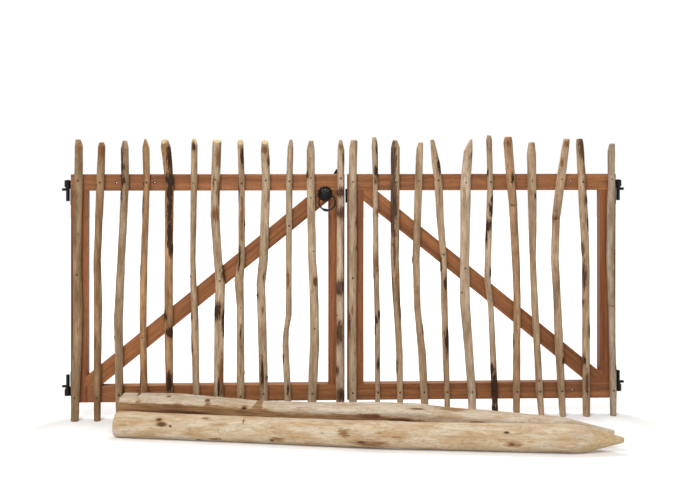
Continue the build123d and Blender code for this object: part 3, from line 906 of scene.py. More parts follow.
    def painted(self, distance: np.ndarray, turn: np.ndarray, radius: np.ndarray,
                patches: tuple[Patch, ...]) -> dict:
        """Strength of every mark at every point: 1 in its middle, 0.5 at its edge, 0 well outside.

        Args:
            distance: Metres from the foot.
            turn: Radians round from the front.
            radius: Metres from the centre line.
            patches: The timber's marks.

        Returns:
            An array for each mark.
        """
        values = {mark: np.zeros(len(distance)) for mark in Mark}
        halos = tuple(Patch(Mark.BAST, p.low - HALO_LENGTH, p.high + HALO_LENGTH, p.left - HALO_SHARE,
                            p.right + HALO_SHARE) for p in patches if p.mark is Mark.BARK)
        for patch in patches + halos:
            left, right = Patch.angle(patch.left), Patch.angle(patch.right)
            reach = max((patch.high - patch.low) / 2, LEAST_REACH) * MM
            mean_radius = np.maximum(radius, LEAST_RADIUS * MM).mean()
            spread = max((right - left) / 2 * mean_radius, LEAST_SPREAD * MM)
            off = (turn - (left + right) / 2 + math.pi) % (2 * math.pi) - math.pi
            gap = np.hypot((distance / MM - (patch.low + patch.high) / 2) * MM / reach, off * radius / spread)
            values[patch.mark] = np.maximum(values[patch.mark], np.clip(1 - gap / 2, 0, 1))
        if self.stain:
            line = np.array(self.stain)
            table = np.array(self.stations)
            half = np.interp(distance + self.start, table[:, Column.PLACE], table[:, Column.HALF_DEPTH])
            share = radius * np.sin(turn) / half
            below = np.interp(distance / MM, line[:, 0], line[:, 1]) - share
            strength = np.clip(0.5 + below * half / (STAIN_EDGE * MM), 0, 1) * (np.cos(turn) > -0.3)
            values[Mark.BAST] = np.maximum(values[Mark.BAST], strength)
        return values

    def chopped(self, points: np.ndarray,
                chops: tuple[tuple[float, float], ...]) -> tuple[np.ndarray, np.ndarray]:
        """Cut the tip with straight strokes.

        Args:
            points: The timber's points.
            chops: Each cut's drop in millimetres and its turn from the front in degrees.

        Returns:
            The points, and how far each was cut, as a strength of fresh wood.
        """
        fresh = np.zeros(len(points))
        _, across, forward, half_width, half_depth = self.stations[-1]
        top = self.axis * self.end + self.sideways * across + self.facing * forward
        for drop, degrees in chops:
            angle = math.radians(degrees)
            outward = self.facing * math.cos(angle) + self.sideways * math.sin(angle)
            depth = max(half_width, half_depth) * 1.6
            slope = math.atan2(depth, drop * MM)
            normal = (outward * math.cos(slope) + self.axis * math.sin(slope)).normalized()
            over = (points - np.array(top - outward * half_depth * 0.4)) @ np.array(normal)
            points = points - np.outer(np.maximum(over, 0), np.array(normal))
            fresh = np.maximum(fresh, np.clip(over / (1.5 * MM), 0, 1))
        return points, fresh

    def finished(self, body: Body, material: bpy.types.Material) -> bpy.types.Object:
        """Hand the worked mesh over as a piece that stands for its frame node.

        Args:
            body: The body that it rides on.
            material: Its finish.

        Returns:
            The piece.
        """
        self.mesh.materials.clear()
        self.mesh.materials.append(material)
        self.mesh.polygons.foreach_set("use_smooth", [True] * len(self.mesh.polygons))
        piece = bpy.data.objects.new(self.mesh.name, self.mesh)
        bpy.context.scene.collection.objects.link(piece)
        hand_over(piece, body, self.node)
        LOG.info("%s: %d faces", piece.name, len(self.mesh.polygons))
        return piece


def knot(height: float, share: float, size: float = 9.0) -> Patch:
    """A round knot.

    Args:
        height: Its place along the timber.
        share: Its place across the front.
        size: Its height.

    Returns:
        The mark.
    """
    return Patch(Mark.KNOT, height - size / 2, height + size / 2, share - 0.14, share + 0.14)


@dataclass(frozen=True)
class Marks:
    """The marks of a timber by kind, each as its low, high, left and right place, as in Patch.

    Scars and shade are places as dark as knots: real scars, and on the back post also two strips of painted
    shade. A knot is its height, its place across and, where it isn't the usual one, its size.
    """

    bark: tuple[tuple[float, ...], ...] = ()
    bast: tuple[tuple[float, ...], ...] = ()
    scars_and_shade: tuple[tuple[float, ...], ...] = ()
    fresh: tuple[tuple[float, ...], ...] = ()
    knots: tuple[tuple[float, ...], ...] = ()

    def patches(self) -> tuple[Patch, ...]:
        """Every mark as a patch.

        Returns:
            The patches.
        """
        kinds = ((Mark.BARK, self.bark), (Mark.BAST, self.bast), (Mark.KNOT, self.scars_and_shade),
                 (Mark.FRESH, self.fresh))
        flat = tuple(Patch(kind, *place) for kind, places in kinds for place in places)
        return flat + tuple(knot(*place) for place in self.knots)


@dataclass(frozen=True)
class Pale:
    """One pale's look: its weathering, its marks, where its screws sit and how its tip was cut.

    Heights are above the ground. The chops are each a drop and a turn from the front in degrees.
    """

    tone: Tone
    marks: Marks = Marks()
    top_screw: float = 1016.0
    bottom_screw: float = 112.0
    other_screws: tuple[float, ...] = ()
    chops: tuple[tuple[float, float], ...] = ()
    fresh_tip: bool = False
    bark_tone: BarkTone = BarkTone.DARK


# The pales of each leaf, from left to right
PALES = {
    Hand.LEFT: (
        Pale(Tone.SHADED_ASH, Marks(
            bast=((1138, 1181, -0.3, 0.8), (369, 416, 0, 0.35), (965, 985, -0.9, -0.5),
                  (790, 806, 0.2, 0.6)),
            knots=((1113, -0.3),)), top_screw=1024, bottom_screw=102, other_screws=(625,)),
        Pale(Tone.BROWN, Marks(
            bark=((998, 1012, -1, -0.7),),
            bast=((1120, 1180, -1, 1), (640, 700, 0.3, 1), (300, 380, -1, -0.2))),
             top_screw=1016, bottom_screw=102),
        Pale(Tone.ASH, Marks(
            bark=((1098, 1170, -1, -0.35), (1058, 1104, -1, -0.2), (995, 1062, -1, -0.1),
                  (940, 990, -1, -0.6), (349, 363, -1, -0.85), (111, 119, -0.3, -0.1)),
            bast=((508, 522, -0.1, 0.1), (98, 175, 0.6, 1)), knots=((280, -0.7),))),
        Pale(Tone.OCHRE, Marks(
            bark=((1002, 1016, -1, -0.8), (868, 968, -1, -0.78), (614, 668, -1, -0.75),
                  (136, 197, -1, -0.8)),
            bast=((1052, 1108, -1, -0.6),), knots=((210, -0.5),)), other_screws=(355,)),
        Pale(Tone.OCHRE, Marks(
            bark=((1050, 1180, 0.15, 1), (995, 1062, -0.9, 1), (930, 1015, -0.6, 0.9),
                  (830, 965, -0.5, 0.75), (735, 862, -0.45, 0.95), (700, 765, 0.1, 1),
                  (425, 472, -1, -0.5), (356, 399, -0.6, 1), (119, 210, -0.7, 0.8)),
            bast=((515, 562, -0.1, 0.3),), knots=((1138, -0.6), (261, 0.2))),
             top_screw=1014, chops=((22, -15),), fresh_tip=True),
        Pale(Tone.TAN, Marks(
            bark=((1147, 1190, -0.6, 0.3), (425, 455, -1, -0.6), (274, 369, -1, -0.8)),
            bast=((889, 915, -0.1, 0.2),), knots=((614, -0.8),)),
             top_screw=1014, chops=((18, 10),), fresh_tip=True),
        Pale(Tone.GREY, Marks(
            bark=((588, 665, 0.75, 1), (428, 502, -1, 0.35), (350, 490, 0.75, 1), (96, 185, -0.1, 0.35)),
            bast=((1078, 1170, 0, 1), (975, 1045, -0.8, -0.35), (905, 1035, 0.5, 1), (845, 915, -0.8, 1),
                  (96, 300, 0.1, 1))),
             top_screw=1027, other_screws=(595,), chops=((18, 5),), fresh_tip=True),
        Pale(Tone.TAN, Marks(
            bark=((1085, 1168, 0, 0.9), (945, 990, -1, -0.7), (824, 850, 0.8, 1), (640, 735, -0.8, -0.1),
                  (347, 407, -0.1, 0.3)),
            bast=((750, 975, -0.4, 0.6), (188, 235, -0.1, 0.25), (96, 108, -0.4, 0.4)),
            knots=((622, -0.1), (480, 0.1), (313, 0.4), (201, 0.9))),
             top_screw=1012, bottom_screw=102, chops=((20, -8),), fresh_tip=True),
        Pale(Tone.GREY, Marks(
            bark=((1085, 1135, 0.7, 1), (526, 538, -1, -0.8), (455, 480, 0.2, 0.5), (128, 268, -0.6, 0.1),
                  (171, 187, 0.8, 1)),
            bast=((1138, 1172, -0.8, 0.7), (930, 985, 0.5, 1), (596, 635, 0.3, 0.9),
                  (338, 415, -0.2, 0.15))), top_screw=1024, chops=((20, 5),), fresh_tip=True),
        Pale(Tone.GREY, Marks(
            bark=((235, 283, -1, -0.75), (115, 149, -0.2, 0.5)), bast=((540, 650, -0.8, 0.3),),
            knots=((425, 0.1), (390, -0.5), (317, -0.8))), top_screw=1020, other_screws=(830,)),
        Pale(Tone.GREY, Marks(
            bark=((1035, 1061, -1, -0.7),), scars_and_shade=((570, 612, -0.1, 0.95),),
            knots=((1119, 0), (721, 0.4))), top_screw=1035, other_screws=(950, 390)),
        Pale(Tone.LIGHT, Marks(
            bark=((1082, 1164, 0.7, 1), (956, 988, -1, 1), (863, 906, -0.8, 1), (535, 592, -1, 1),
                  (318, 425, -0.9, 0.6), (193, 226, -1, -0.4), (78, 126, -0.9, 1)),
            bast=((1155, 1181, -0.6, 0.6),), knots=((446, -0.8),)),
             top_screw=1033, bark_tone=BarkTone.DUSTY),
    ),
    Hand.RIGHT: (
        Pale(Tone.GREY, Marks(
            bark=((824, 859, 0.8, 1), (728, 740, 0.75, 0.95), (356, 455, -1, -0.8)),
            bast=((437, 489, -0.4, 0.2), (160, 174, -0.2, 0.2)), knots=((283, 0.5),)),
             top_screw=1018, other_screws=(605,)),
        Pale(Tone.GREY, Marks(
            bark=((1120, 1199, 0.35, 1), (1036, 1085, -0.3, 1), (1060, 1150, 0.7, 1),
                  (540, 742, -1, -0.78), (425, 463, -0.1, 1), (407, 440, -0.9, 0), (356, 407, -1, -0.7),
                  (214, 257, -0.3, 0.5)),
            bast=((1008, 1045, -0.6, 0.8), (864, 908, 0, 0.95), (630, 715, -0.8, 0.8)),
            knots=((145, 0.1), (119, -0.2)))),
        Pale(Tone.TAN, Marks(
            bark=((1030, 1185, -1, 0.1), (780, 1060, -1, 0.4), (640, 790, -0.5, 0.05),
                  (460, 560, 0.3, 0.8), (420, 480, 0.75, 1), (500, 640, -1, -0.85), (190, 262, -1, -0.7)),
            bast=((540, 652, -0.3, 0.4),), knots=((773, 0),)), bark_tone=BarkTone.DUSTY),
        Pale(Tone.TAN, Marks(
            bark=((356, 407, 0.8, 1),), bast=((540, 545, -0.9, 0.3),), scars_and_shade=((668, 692, -1, -0.85),),
            knots=((231, 0.8),)), top_screw=1022),
        Pale(Tone.TAN, Marks(
            bark=((1050, 1120, 0.2, 1), (622, 690, -1, -0.6), (545, 612, -0.2, 0.8),
                  (272, 395, -0.45, 1)),
            bast=((953, 992, -0.2, 0.4),), knots=((513, 0.5),)), top_screw=1024, other_screws=(705,)),
        Pale(Tone.LIGHT, Marks(
            bast=((1110, 1150, 0.7, 1),), knots=((541, -0.8),)), top_screw=1014, other_screws=(645,)),
        Pale(Tone.GREY, Marks(
            bark=((1044, 1069, -1, -0.7), (915, 960, 0.2, 1), (868, 935, -0.3, 1), (798, 853, -1, 0.5),
                  (743, 819, -1, -0.5), (605, 644, 0.5, 1), (179, 235, -1, 0), (38, 201, -1, 1),
                  (0, 60, -1.6, 1.6)),
            bast=((1151, 1203, -1, -0.5), (1151, 1203, 0.5, 1)), fresh=((860, 866, -0.6, 0.6),)),
             top_screw=1016),
        Pale(Tone.FAWN, Marks(
            bark=((1005, 1061, 0.1, 0.35), (1015, 1050, 0.5, 0.7)),
            bast=((1160, 1205, -0.7, 0.7), (911, 921, -1, 1)), knots=((456, 0),))),
        Pale(Tone.TAN, Marks(
            bark=((949, 966, 0.55, 0.85),), bast=((150, 166, -0.5, 0.3),)), top_screw=1022),
        Pale(Tone.TAN, Marks(
            bark=((857, 862, -0.9, 0.6), (222, 263, 0.6, 1)),
            bast=((276, 290, 0.7, 1), (1165, 1196, -0.6, 0.8), (1085, 1120, -0.9, -0.2)),
            fresh=((849, 853, -0.8, 0.6),)), top_screw=1027),
        Pale(Tone.TAN, Marks(
            bark=((1100, 1215, -0.5, 1), (799, 876, 0.6, 1), (549, 670, -1, -0.2), (480, 511, -1, -0.7),
                  (338, 400, 0.6, 1), (222, 265, -1, -0.4), (95, 190, -0.5, 0.2), (690, 760, -1, -0.6),
                  (920, 960, 0.3, 1)),
            bast=((1045, 1105, 0.2, 1), (960, 1030, 0.4, 1))), bark_tone=BarkTone.DUSTY),
        Pale(Tone.STONE, Marks(
            bark=((541, 764, 0.85, 1), (179, 222, 0.7, 1)), bast=((476, 482, -1, 1),)), top_screw=1027),
    ),
}

UPRIGHT = Vector((0.0, 0.0, 1.0))
TOWARDS_VIEWER = Vector((0.0, -1.0, 0.0))
TO_THE_RIGHT = Vector((1.0, 0.0, 0.0))


def clad(node: bpy.types.Object, material: bpy.types.Material) -> None:
    """Dress a frame node that keeps its shape.

    Args:
        node: The frame node.
        material: Its finish.
    """
    node.data.materials.clear()
    node.data.materials.append(material)


def back_marks(name: str, length: float) -> tuple[Patch, ...]:
    """Bark and bast left on the unseen side of a pale, the same on every run.

    Args:
        name: The pale's node, which seeds the choice.
        length: The pale's length.

    Returns:
        Two to four marks round the back.
    """
    choice = random.Random(name)
    marks = []
    for _ in range(choice.randint(2, 4)):
        low = choice.uniform(60, length - 220)
        tall = choice.uniform(30, 130)
        turn = choice.choice((-1, 1)) * choice.uniform(1.15, 1.6)
        kind = choice.choice((Mark.BARK, Mark.BAST))
        marks.append(Patch(kind, low, low + tall, min(turn, turn + 0.25), max(turn, turn + 0.25)))
    return tuple(marks)


# A sunk screw's head: the height of its edge, and its face's steps from the rim to the recess, each a share
# of its radius inwards and a rise
SCREW_SKIRT = 2.5
SCREW_STEPS = ((0.12, 0.25), (0.3, 0.0), (0.02, -1.1))


def sink_screw(mesh: bmesh.types.BMesh, place: Vector, normal: Vector, diameter: float) -> None:
    """Add one countersunk screw head with a round drive recess to a mesh of screws.

    Args:
        mesh: The mesh that takes it.
        place: The middle of the head's face, in metres.
        normal: Direction out of the timber.
        diameter: The head's diameter.
    """
    turn = normal.to_track_quat("Z", "Y").to_matrix().to_4x4()
    made = bmesh.ops.create_circle(mesh, cap_ends=True, radius=diameter / 2 * MM, segments=18,
                                   matrix=Matrix.Translation(place) @ turn)
    face = next(f for v in made["verts"] for f in v.link_faces)
    if face.normal.dot(normal) < 0:
        bmesh.ops.reverse_faces(mesh, faces=[face])
    edges = list(face.edges)
    skirt = bmesh.ops.extrude_edge_only(mesh, edges=edges)
    lower = [g for g in skirt["geom"] if isinstance(g, bmesh.types.BMVert)]
    bmesh.ops.translate(mesh, verts=lower, vec=-normal * SCREW_SKIRT * MM)
    for width, depth in SCREW_STEPS:
        bmesh.ops.inset_region(mesh, faces=[face], thickness=diameter / 2 * width * MM, depth=0.0)
        bmesh.ops.translate(mesh, verts=list(face.verts), vec=normal * depth * MM)


# Corners this near to a level lie on it, and corners on it this near to one another are of one pocket
SAME_LEVEL = 0.05
SAME_POCKET = 20.0


def pocket_floors(rail: bpy.types.Object, face: float, depth: float) -> list[Vector]:
    """Middles of the flat floors of the screw pockets in a rail.

    Args:
        rail: The rail's frame node.
        face: The rail's front face, in metres.
        depth: Depth of a pocket.

    Returns:
        One point for each pocket.
    """
    level = face + depth * MM
    groups = []
    for vert in rail.data.vertices:
        if abs(vert.co.y - level) > SAME_LEVEL * MM:
            continue
        near = next((g for g in groups if (g[0] - vert.co).length < SAME_POCKET * MM), None)
        if near is None:
            groups.append([vert.co.copy()])
        else:
            near.append(vert.co.copy())
    corners = [(Vector(map(min, zip(*g))), Vector(map(max, zip(*g)))) for g in groups if len(g) > 8]
    return [(low + high) / 2 for low, high in corners]


@dataclass
class Leaf:
    """One leaf of the gate: its boards, its pales and its screws.

    Args:
        hand: Which of the two it is.
        body: The body that its pieces ride on.
        floor: Level of the ground, in metres.
        face: The front face of the boards, in metres.
    """

    hand: Hand
    body: Body
    floor: float
    face: float
    pale_voxel: float = 4.0
    pale_length: float = 1180.0
    bump_height: float = 1.0
    bump_length: float = 90.0
    brace_rise: float = 39.0
    screw_head: float = 8.5
    # Painted shade round a screw, in the dimple it sits in: its half height, and its half width as a share
    rim: tuple[float, float] = (5.0, 0.16)
    pocket_depth: float = 7.0
    # Half outline of a 9.4 mm pan head with its drive recess
    pan_head: tuple[tuple[float, float], ...] = (
        (4.7, 0.0), (4.7, 2.2), (4.2, 3.4), (2.9, 4.4), (1.7, 4.7), (1.3, 3.2), (0.0, 2.8))

    def build(self, nodes: dict) -> None:
        """Dress the boards, work the pales and sink the screws.

        Args:
            nodes: The frame's nodes by name.
        """
        self.dress_boards(nodes)
        self.pocket_screws(nodes)
        finishes = {}
        screws = bmesh.new()
        side = self.hand.value
        for place, look in enumerate(PALES[self.hand], 1):
            name = f"{side}_pale_{place:02d}"
            dusty = "dusty_" if look.bark_tone is BarkTone.DUSTY else ""
            kind = f"{dusty}{look.tone.name.lower()}_{side}"
            if kind not in finishes:
                finishes[kind] = PeeledChestnut(f"peeled_chestnut_{kind}", look.tone.value,
                                                (0.0, -math.pi / 2, 0.0), bark=look.bark_tone.value).build()
            self.work_pale(name, look, nodes[name], finishes[kind], screws)
        # The screw heads are near black: dark steel, with the shade of the countersink painted into it
        steel = CoatedSteel(f"blackened_screw_steel_{side}", base="#080605", rubbed="#14100D").build()
        piece = piece_from(screws, f"{side}_pale_screws", steel, smooth=False)
        hand_over(piece, self.body)

    def dress_boards(self, nodes: dict) -> None:
        """Give each board its own hardwood.

        Args:
            nodes: The frame's nodes by name.
        """
        side = self.hand.value
        on_left = self.hand is Hand.LEFT
        brace_turn = math.radians(-self.brace_rise if on_left else self.brace_rise)
        for place, (board, grain, light, dark) in enumerate((
                ("top_rail", 0.0, "#9F6942", "#7E4F31"), ("bottom_rail", 0.0, "#9D6740", "#7B4C2F"),
                ("hinge_stile", -math.pi / 2, "#935B36", "#724327"),
                ("meeting_stile", -math.pi / 2, "#965E38", "#744529"),
                ("brace", brace_turn, "#9B643D", "#774829"))):
            finish = PlanedHardwood(f"planed_hardwood_{side}_{board}", (0.0, grain, 0.0),
                                    0.31 * place + (1.7 if on_left else 0.0), light, dark)
            clad(nodes[f"{side}_{board}"], finish.build())

    def pocket_screws(self, nodes: dict) -> None:
        """Put a zinc screw on the floor of each pocket that is bored in a rail.

        Args:
            nodes: The frame's nodes by name.
        """
        side = self.hand.value
        heads = bmesh.new()
        for rail in (f"{side}_top_rail", f"{side}_bottom_rail"):
            for centre in pocket_floors(nodes[rail], self.face, self.pocket_depth):
                turned(self.pan_head, centre, 24, heads)
        piece = piece_from(heads, f"{side}_rail_screws", ZincPlate(f"bright_zinc_{side}").build())
        hand_over(piece, self.body)

    def work_pale(self, name: str, look: Pale, source: bpy.types.Object, finish: bpy.types.Material,
                  screws: bmesh.types.BMesh) -> None:
        """Work one pale and sink its screws.

        Args:
            name: Its frame node.
            look: Its marks and screws.
            source: The frame node's object.
            finish: Its material.
            screws: The leaf's mesh of screws.
        """
        timber = Timber(name, UPRIGHT, TOWARDS_VIEWER, TO_THE_RIGHT, self.pale_voxel, self.bump_height,
                        self.bump_length)
        heights = (look.top_screw, look.bottom_screw) + look.other_screws
        tall, wide = self.rim
        # Each screw gets a dark rim of painted shade, laid in with the knots' colour
        screw_shade_rims = tuple(Patch(Mark.KNOT, h - tall, h + tall, -wide, wide) for h in heights)
        timber.work(source, look.marks.patches() + screw_shade_rims + back_marks(name, self.pale_length), self.floor,
                    tuple((h, 0.0) for h in heights), look.chops, look.fresh_tip, self.face)
        timber.finished(self.body, finish)
        tree = BVHTree.FromPolygons([v.co for v in timber.mesh.vertices],
                                    [tuple(p.vertices) for p in timber.mesh.polygons])
        for height in heights:
            hit, normal, _, _ = tree.ray_cast(timber.surface_point(height), -TOWARDS_VIEWER)
            if hit is not None:
                sink_screw(screws, hit + normal * 0.3 * MM, normal, self.screw_head)


@dataclass(frozen=True)
class LyingPost:
    """One of the two loose posts: its way round, its marks and its wood.

    The stain is a line of places, each a distance and a share; below it the inner bark is left on.
    """

    node: str
    turn: float
    marks: Marks
    stain: tuple[tuple[float, float], ...]
    tone: tuple[str, str]
    voxel: float = 4.0
    bump_height: float = 2.0
    bump_length: float = 190.0
    point: float = 210.0

    def build(self, nodes: dict, floor: float) -> None:
        """Work the post up from its frame node.

        Args:
            nodes: The frame's nodes by name.
            floor: Level of the ground, in metres.
        """
        heading = math.radians(self.turn)
        axis = Vector((math.cos(heading), -math.sin(heading), 0.0))
        facing = Vector((-math.sin(heading), -math.cos(heading), 0.0))
        timber = Timber(self.node, axis, facing, UPRIGHT, self.voxel, self.bump_height, self.bump_length,
                        self.stain, self.point)
        timber.work(nodes[self.node], self.marks.patches(), floor)
        finish = PeeledChestnut(
            f"hewn_chestnut_{self.node}", self.tone, (0.0, 0.0, -heading), fibre=(130.0, 4.2),
            cloud=(120.0, 30.0), bump=0.4, bast=("#A07C58", "#775839"), fresh=("#C2AD8A", "#AC9069"),
            line="#8F6B45", line_share=0.3, streak=(0.84, 1.05), blotch=0.24)
        timber.finished(Body.POSTS, finish.build())


# The inner bark's patch from 905 to 960 along the front post is painted shadow, a V of shade on its front
FRONT_POST_MARKS = Marks(
    bast=((360, 392, 0.8, 0.94), (395, 440, -0.8, -0.5), (640, 700, -0.6, -0.2), (905, 960, -0.1, 0.6),
          (960, 1110, -0.75, -0.1), (1050, 1084, 0.3, 0.44), (1112, 1160, 0.06, 0.16),
          (1546, 1612, -0.45, 0)),
    scars_and_shade=((176, 204, 0.56, 0.8), (180, 228, 0.2, 0.56), (233, 247, 0.18, 0.36), (340, 362, -0.8, -0.66),
           (982, 1018, -0.48, -0.22), (1538, 1562, 0.48, 0.66), (1558, 1582, -0.3, -0.12)),
    fresh=((1790, 2140, -1.5, -0.1),), knots=((532, 0.8, 6), (440, -0.62, 6), (648, -0.52, 17)))
FRONT_POST_STAIN = (
    (0, -0.86), (300, -0.95), (900, -0.9), (1000, -0.72), (1100, -0.9), (1995, -0.85),
)
# The dark places from 60 to 450 and 1085 to 1235 along the back post are painted shade where the front post
# meets it
BACK_POST_MARKS = Marks(
    bark=((520, 540, 0.56, 0.7),), bast=((1300, 1420, 0.9, 1), (1428, 1540, 0.3, 0.5)),
    scars_and_shade=((66, 78, 0.9, 1), (196, 216, 0.88, 0.98), (60, 450, 0.16, 0.36), (360, 384, 0.72, 0.96),
           (996, 1092, 0.34, 0.56), (1085, 1235, 0.22, 0.4), (1196, 1262, 0.77, 0.84),
           (1428, 1500, 0.36, 0.5)))
BACK_POST_STAIN = (
    (0, 0.76), (70, 0.76), (84, 0.92), (100, 0.77), (240, 0.74), (362, 0.73), (376, 0.95), (396, 0.8),
    (455, 0.76), (523, 0.72), (560, 0.84), (574, 1.15), (590, 1.15), (604, 0.86), (640, 0.68),
    (694, 0.56), (744, 0.54), (996, 0.6), (1035, 0.64), (1073, 0.59), (1195, 0.46), (1260, 0.36),
    (1320, 0.1), (1400, -0.5), (1995, -0.8),
)


def turned(profile: list[tuple[float, float]], centre: Vector, steps: int,
           mesh: bmesh.types.BMesh | None = None) -> bmesh.types.BMesh:
    """Spin an outline about a line along Y.

    Args:
        profile: Points as radius and distance forward of the centre, in millimetres.
        centre: A point on the line, in metres.
        steps: Segments round.
        mesh: A mesh that takes the shape, or None for a new one.

    Returns:
        The mesh with the closed shape.
    """
    mesh = mesh or bmesh.new()
    verts = [mesh.verts.new(centre + Vector((r * MM, -forward * MM, 0.0))) for r, forward in profile]
    edges = [mesh.edges.new(pair) for pair in zip(verts, verts[1:])]
    bmesh.ops.spin(mesh, geom=verts + edges, cent=centre, axis=(0.0, 1.0, 0.0), angle=2 * math.pi,
                   steps=steps, use_merge=True)
    bmesh.ops.remove_doubles(mesh, verts=mesh.verts, dist=MERGE * MM)
    bmesh.ops.recalc_face_normals(mesh, faces=mesh.faces)
    return mesh


@dataclass
class RingLatch:
    """The ring latch on the left leaf: rosette, knob, ring and bar, and the keeper opposite."""

    steel: bpy.types.Material
    petals: int = 14
    petal_reach: float = 33.2
    petal_root: float = 29.0
    rosette_thickness: float = 4.0
    boss_radius: float = 23.0
    boss_height: float = 7.0
    knob_radius: float = 21.0
    flutes: int = 10
    flute_depth: float = 2.0
    screw_circle: float = 27.8
    ring_wire: float = 6.5
    grip_wire: float = 12.0
    grip_middle: float = -102.0
    grip_half: float = 19.0
    grip_end: float = 5.0
    # The rosette's middle on the rail, in metres, read from the frame
    centre: Vector = field(default_factory=Vector)

    def build(self, nodes: dict) -> None:
        """Make the smooth pieces and dress the plain ones.

        Args:
            nodes: The frame's nodes by name.
        """
        low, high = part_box("latch_rosette")
        self.centre = Vector(((low.x + high.x) / 2, high.y, (low.z + high.z) / 2))
        self.rosette()
        self.rosette_screws()
        self.knob()
        self.ring()
        for node in ("latch_bar", "latch_keeper"):
            clad(nodes[node], self.steel)

    def rosette(self) -> None:
        """A plate with a rim of forged petals and a stepped boss."""
        profile = [(self.petal_reach, 0.0), (self.petal_reach, 1.6), (self.petal_reach - 1.6, 3.6),
                   (self.petal_root - 3.0, self.rosette_thickness - 0.6), (self.petal_root - 4.4, 2.8),
                   (self.boss_radius, 3.4), (self.boss_radius - 0.8, 5.6),
                   (self.boss_radius - 3.2, self.boss_height), (5.2, self.boss_height), (5.2, 0.0),
                   (self.petal_reach, 0.0)]
        mesh = turned(profile, self.centre, self.petals * 10)
        for vert in mesh.verts:
            off = vert.co - self.centre
            radius = math.hypot(off.x, off.z) / MM
            if radius > self.petal_root - 4.0:
                turn = math.atan2(off.z, off.x) * self.petals
                notch = (1 - abs(math.cos(turn / 2))) ** 1.6 * (radius - self.petal_root + 4.0) * 0.62
                scale = (radius - notch) / radius
                vert.co.x = self.centre.x + off.x * scale
                vert.co.z = self.centre.z + off.z * scale
        bmesh.ops.recalc_face_normals(mesh, faces=mesh.faces)
        piece = piece_from(mesh, "forged_rosette", self.steel, smooth=False)
        hand_over(piece, Body.LEFT_LEAF, "latch_rosette")

    def rosette_screws(self) -> None:
        """Three round-headed screws between the petals and the boss."""
        mesh = bmesh.new()
        dome = [(4.2 * math.cos(a), 3.4 + 2.6 * math.sin(a))
                for a in (math.radians(x) for x in range(0, 90, 15))]
        for degrees in (-15, 105, 225):
            turn = math.radians(degrees)
            place = self.centre + Vector((math.cos(turn), 0.0, math.sin(turn))) * self.screw_circle * MM
            turned([(4.2, 0.5)] + dome + [(0.0, 6.0)], place, 20, mesh)
        piece = piece_from(mesh, "rosette_screws", self.steel)
        hand_over(piece, Body.LEFT_LEAF)

    def knob(self) -> None:
        """The domed and fluted knob with its spindle, grooved for the ring."""
        low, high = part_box("latch_hub")
        front = (self.centre.y - low.y) / MM
        back = (self.centre.y - high.y) / MM
        base = self.boss_height + 0.3
        r = self.knob_radius
        dome = [(r * math.sin(a), front - 10.0 * (1 - math.cos(a)) / (1 - math.cos(math.radians(80))))
                for a in (math.radians(x) for x in range(80, 0, -8))]
        profile = [(0.0, back), (4.6, back), (5.0, back + 0.4), (5.0, base), (r - 5.0, base),
                   (r - 4.4, base + 1.0), (r - 5.5, base + 6.0), (r - 5.5, front - 26.0),
                   (r - 0.6, front - 20.0), (r, front - 18.0), (r, front - 10.6)] + dome + [(0.0, front)]
        mesh = turned(profile, self.centre, self.flutes * 8)
        for vert in mesh.verts:
            off = vert.co - self.centre
            radius = math.hypot(off.x, off.z) / MM
            forward = -off.y / MM
            if forward > front - 12.0 and radius > 3.0:
                dip = (1 - abs(math.cos(math.atan2(off.z, off.x) * self.flutes / 2))) ** 1.5
                depth = dip * self.flute_depth * min(1.0, (radius - 3.0) / 6.0)
                vert.co.y += depth * 0.7 * MM
                scale = (radius - depth) / radius
                vert.co.x = self.centre.x + off.x * scale
                vert.co.z = self.centre.z + off.z * scale
        block = piece_from(mesh, "knob_block", self.steel)
        cutter = piece_from(self.wire_ring(self.ring_wire + 1.0), "ring_cutter", self.steel)
        groove = block.modifiers.new("groove", "BOOLEAN")
        groove.operation = "DIFFERENCE"
        groove.solver = "EXACT"
        groove.object = cutter
        piece = bpy.data.objects.new("domed_knob", modified(block, "domed_knob"))
        bpy.data.objects.remove(cutter)
        bpy.context.scene.collection.objects.link(piece)
        hand_over(piece, Body.LATCH, "latch_hub")

    def wire_ring(self, wire: float) -> bmesh.types.BMesh:
        """A plain ring in the place of the frame's.

        Args:
            wire: Its wire's diameter.

        Returns:
            Its mesh.
        """
        centre, radius = self.ring_place()
        mesh = bmesh.new()
        side = centre + Vector((radius, 0, 0))
        bmesh.ops.create_circle(mesh, radius=wire / 2 * MM, segments=18, matrix=Matrix.Translation(side))
        bmesh.ops.spin(mesh, geom=mesh.verts[:] + mesh.edges[:], cent=centre, axis=(0.0, 1.0, 0.0),
                       angle=2 * math.pi, steps=180, use_merge=True)
        bmesh.ops.remove_doubles(mesh, verts=mesh.verts, dist=MERGE * MM)
        bmesh.ops.recalc_face_normals(mesh, faces=mesh.faces)
        return mesh

    def ring_place(self) -> tuple[Vector, float]:
        """Find the ring in the frame.

        Returns:
            Its centre, and the radius of its wire's centre line, in metres.
        """
        low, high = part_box("latch_ring")
        radius = (high.x - low.x) / 2 - self.ring_wire / 2 * MM
        top = high.z - self.ring_wire / 2 * MM
        return Vector(((low.x + high.x) / 2, (low.y + high.y) / 2, top - radius)), radius

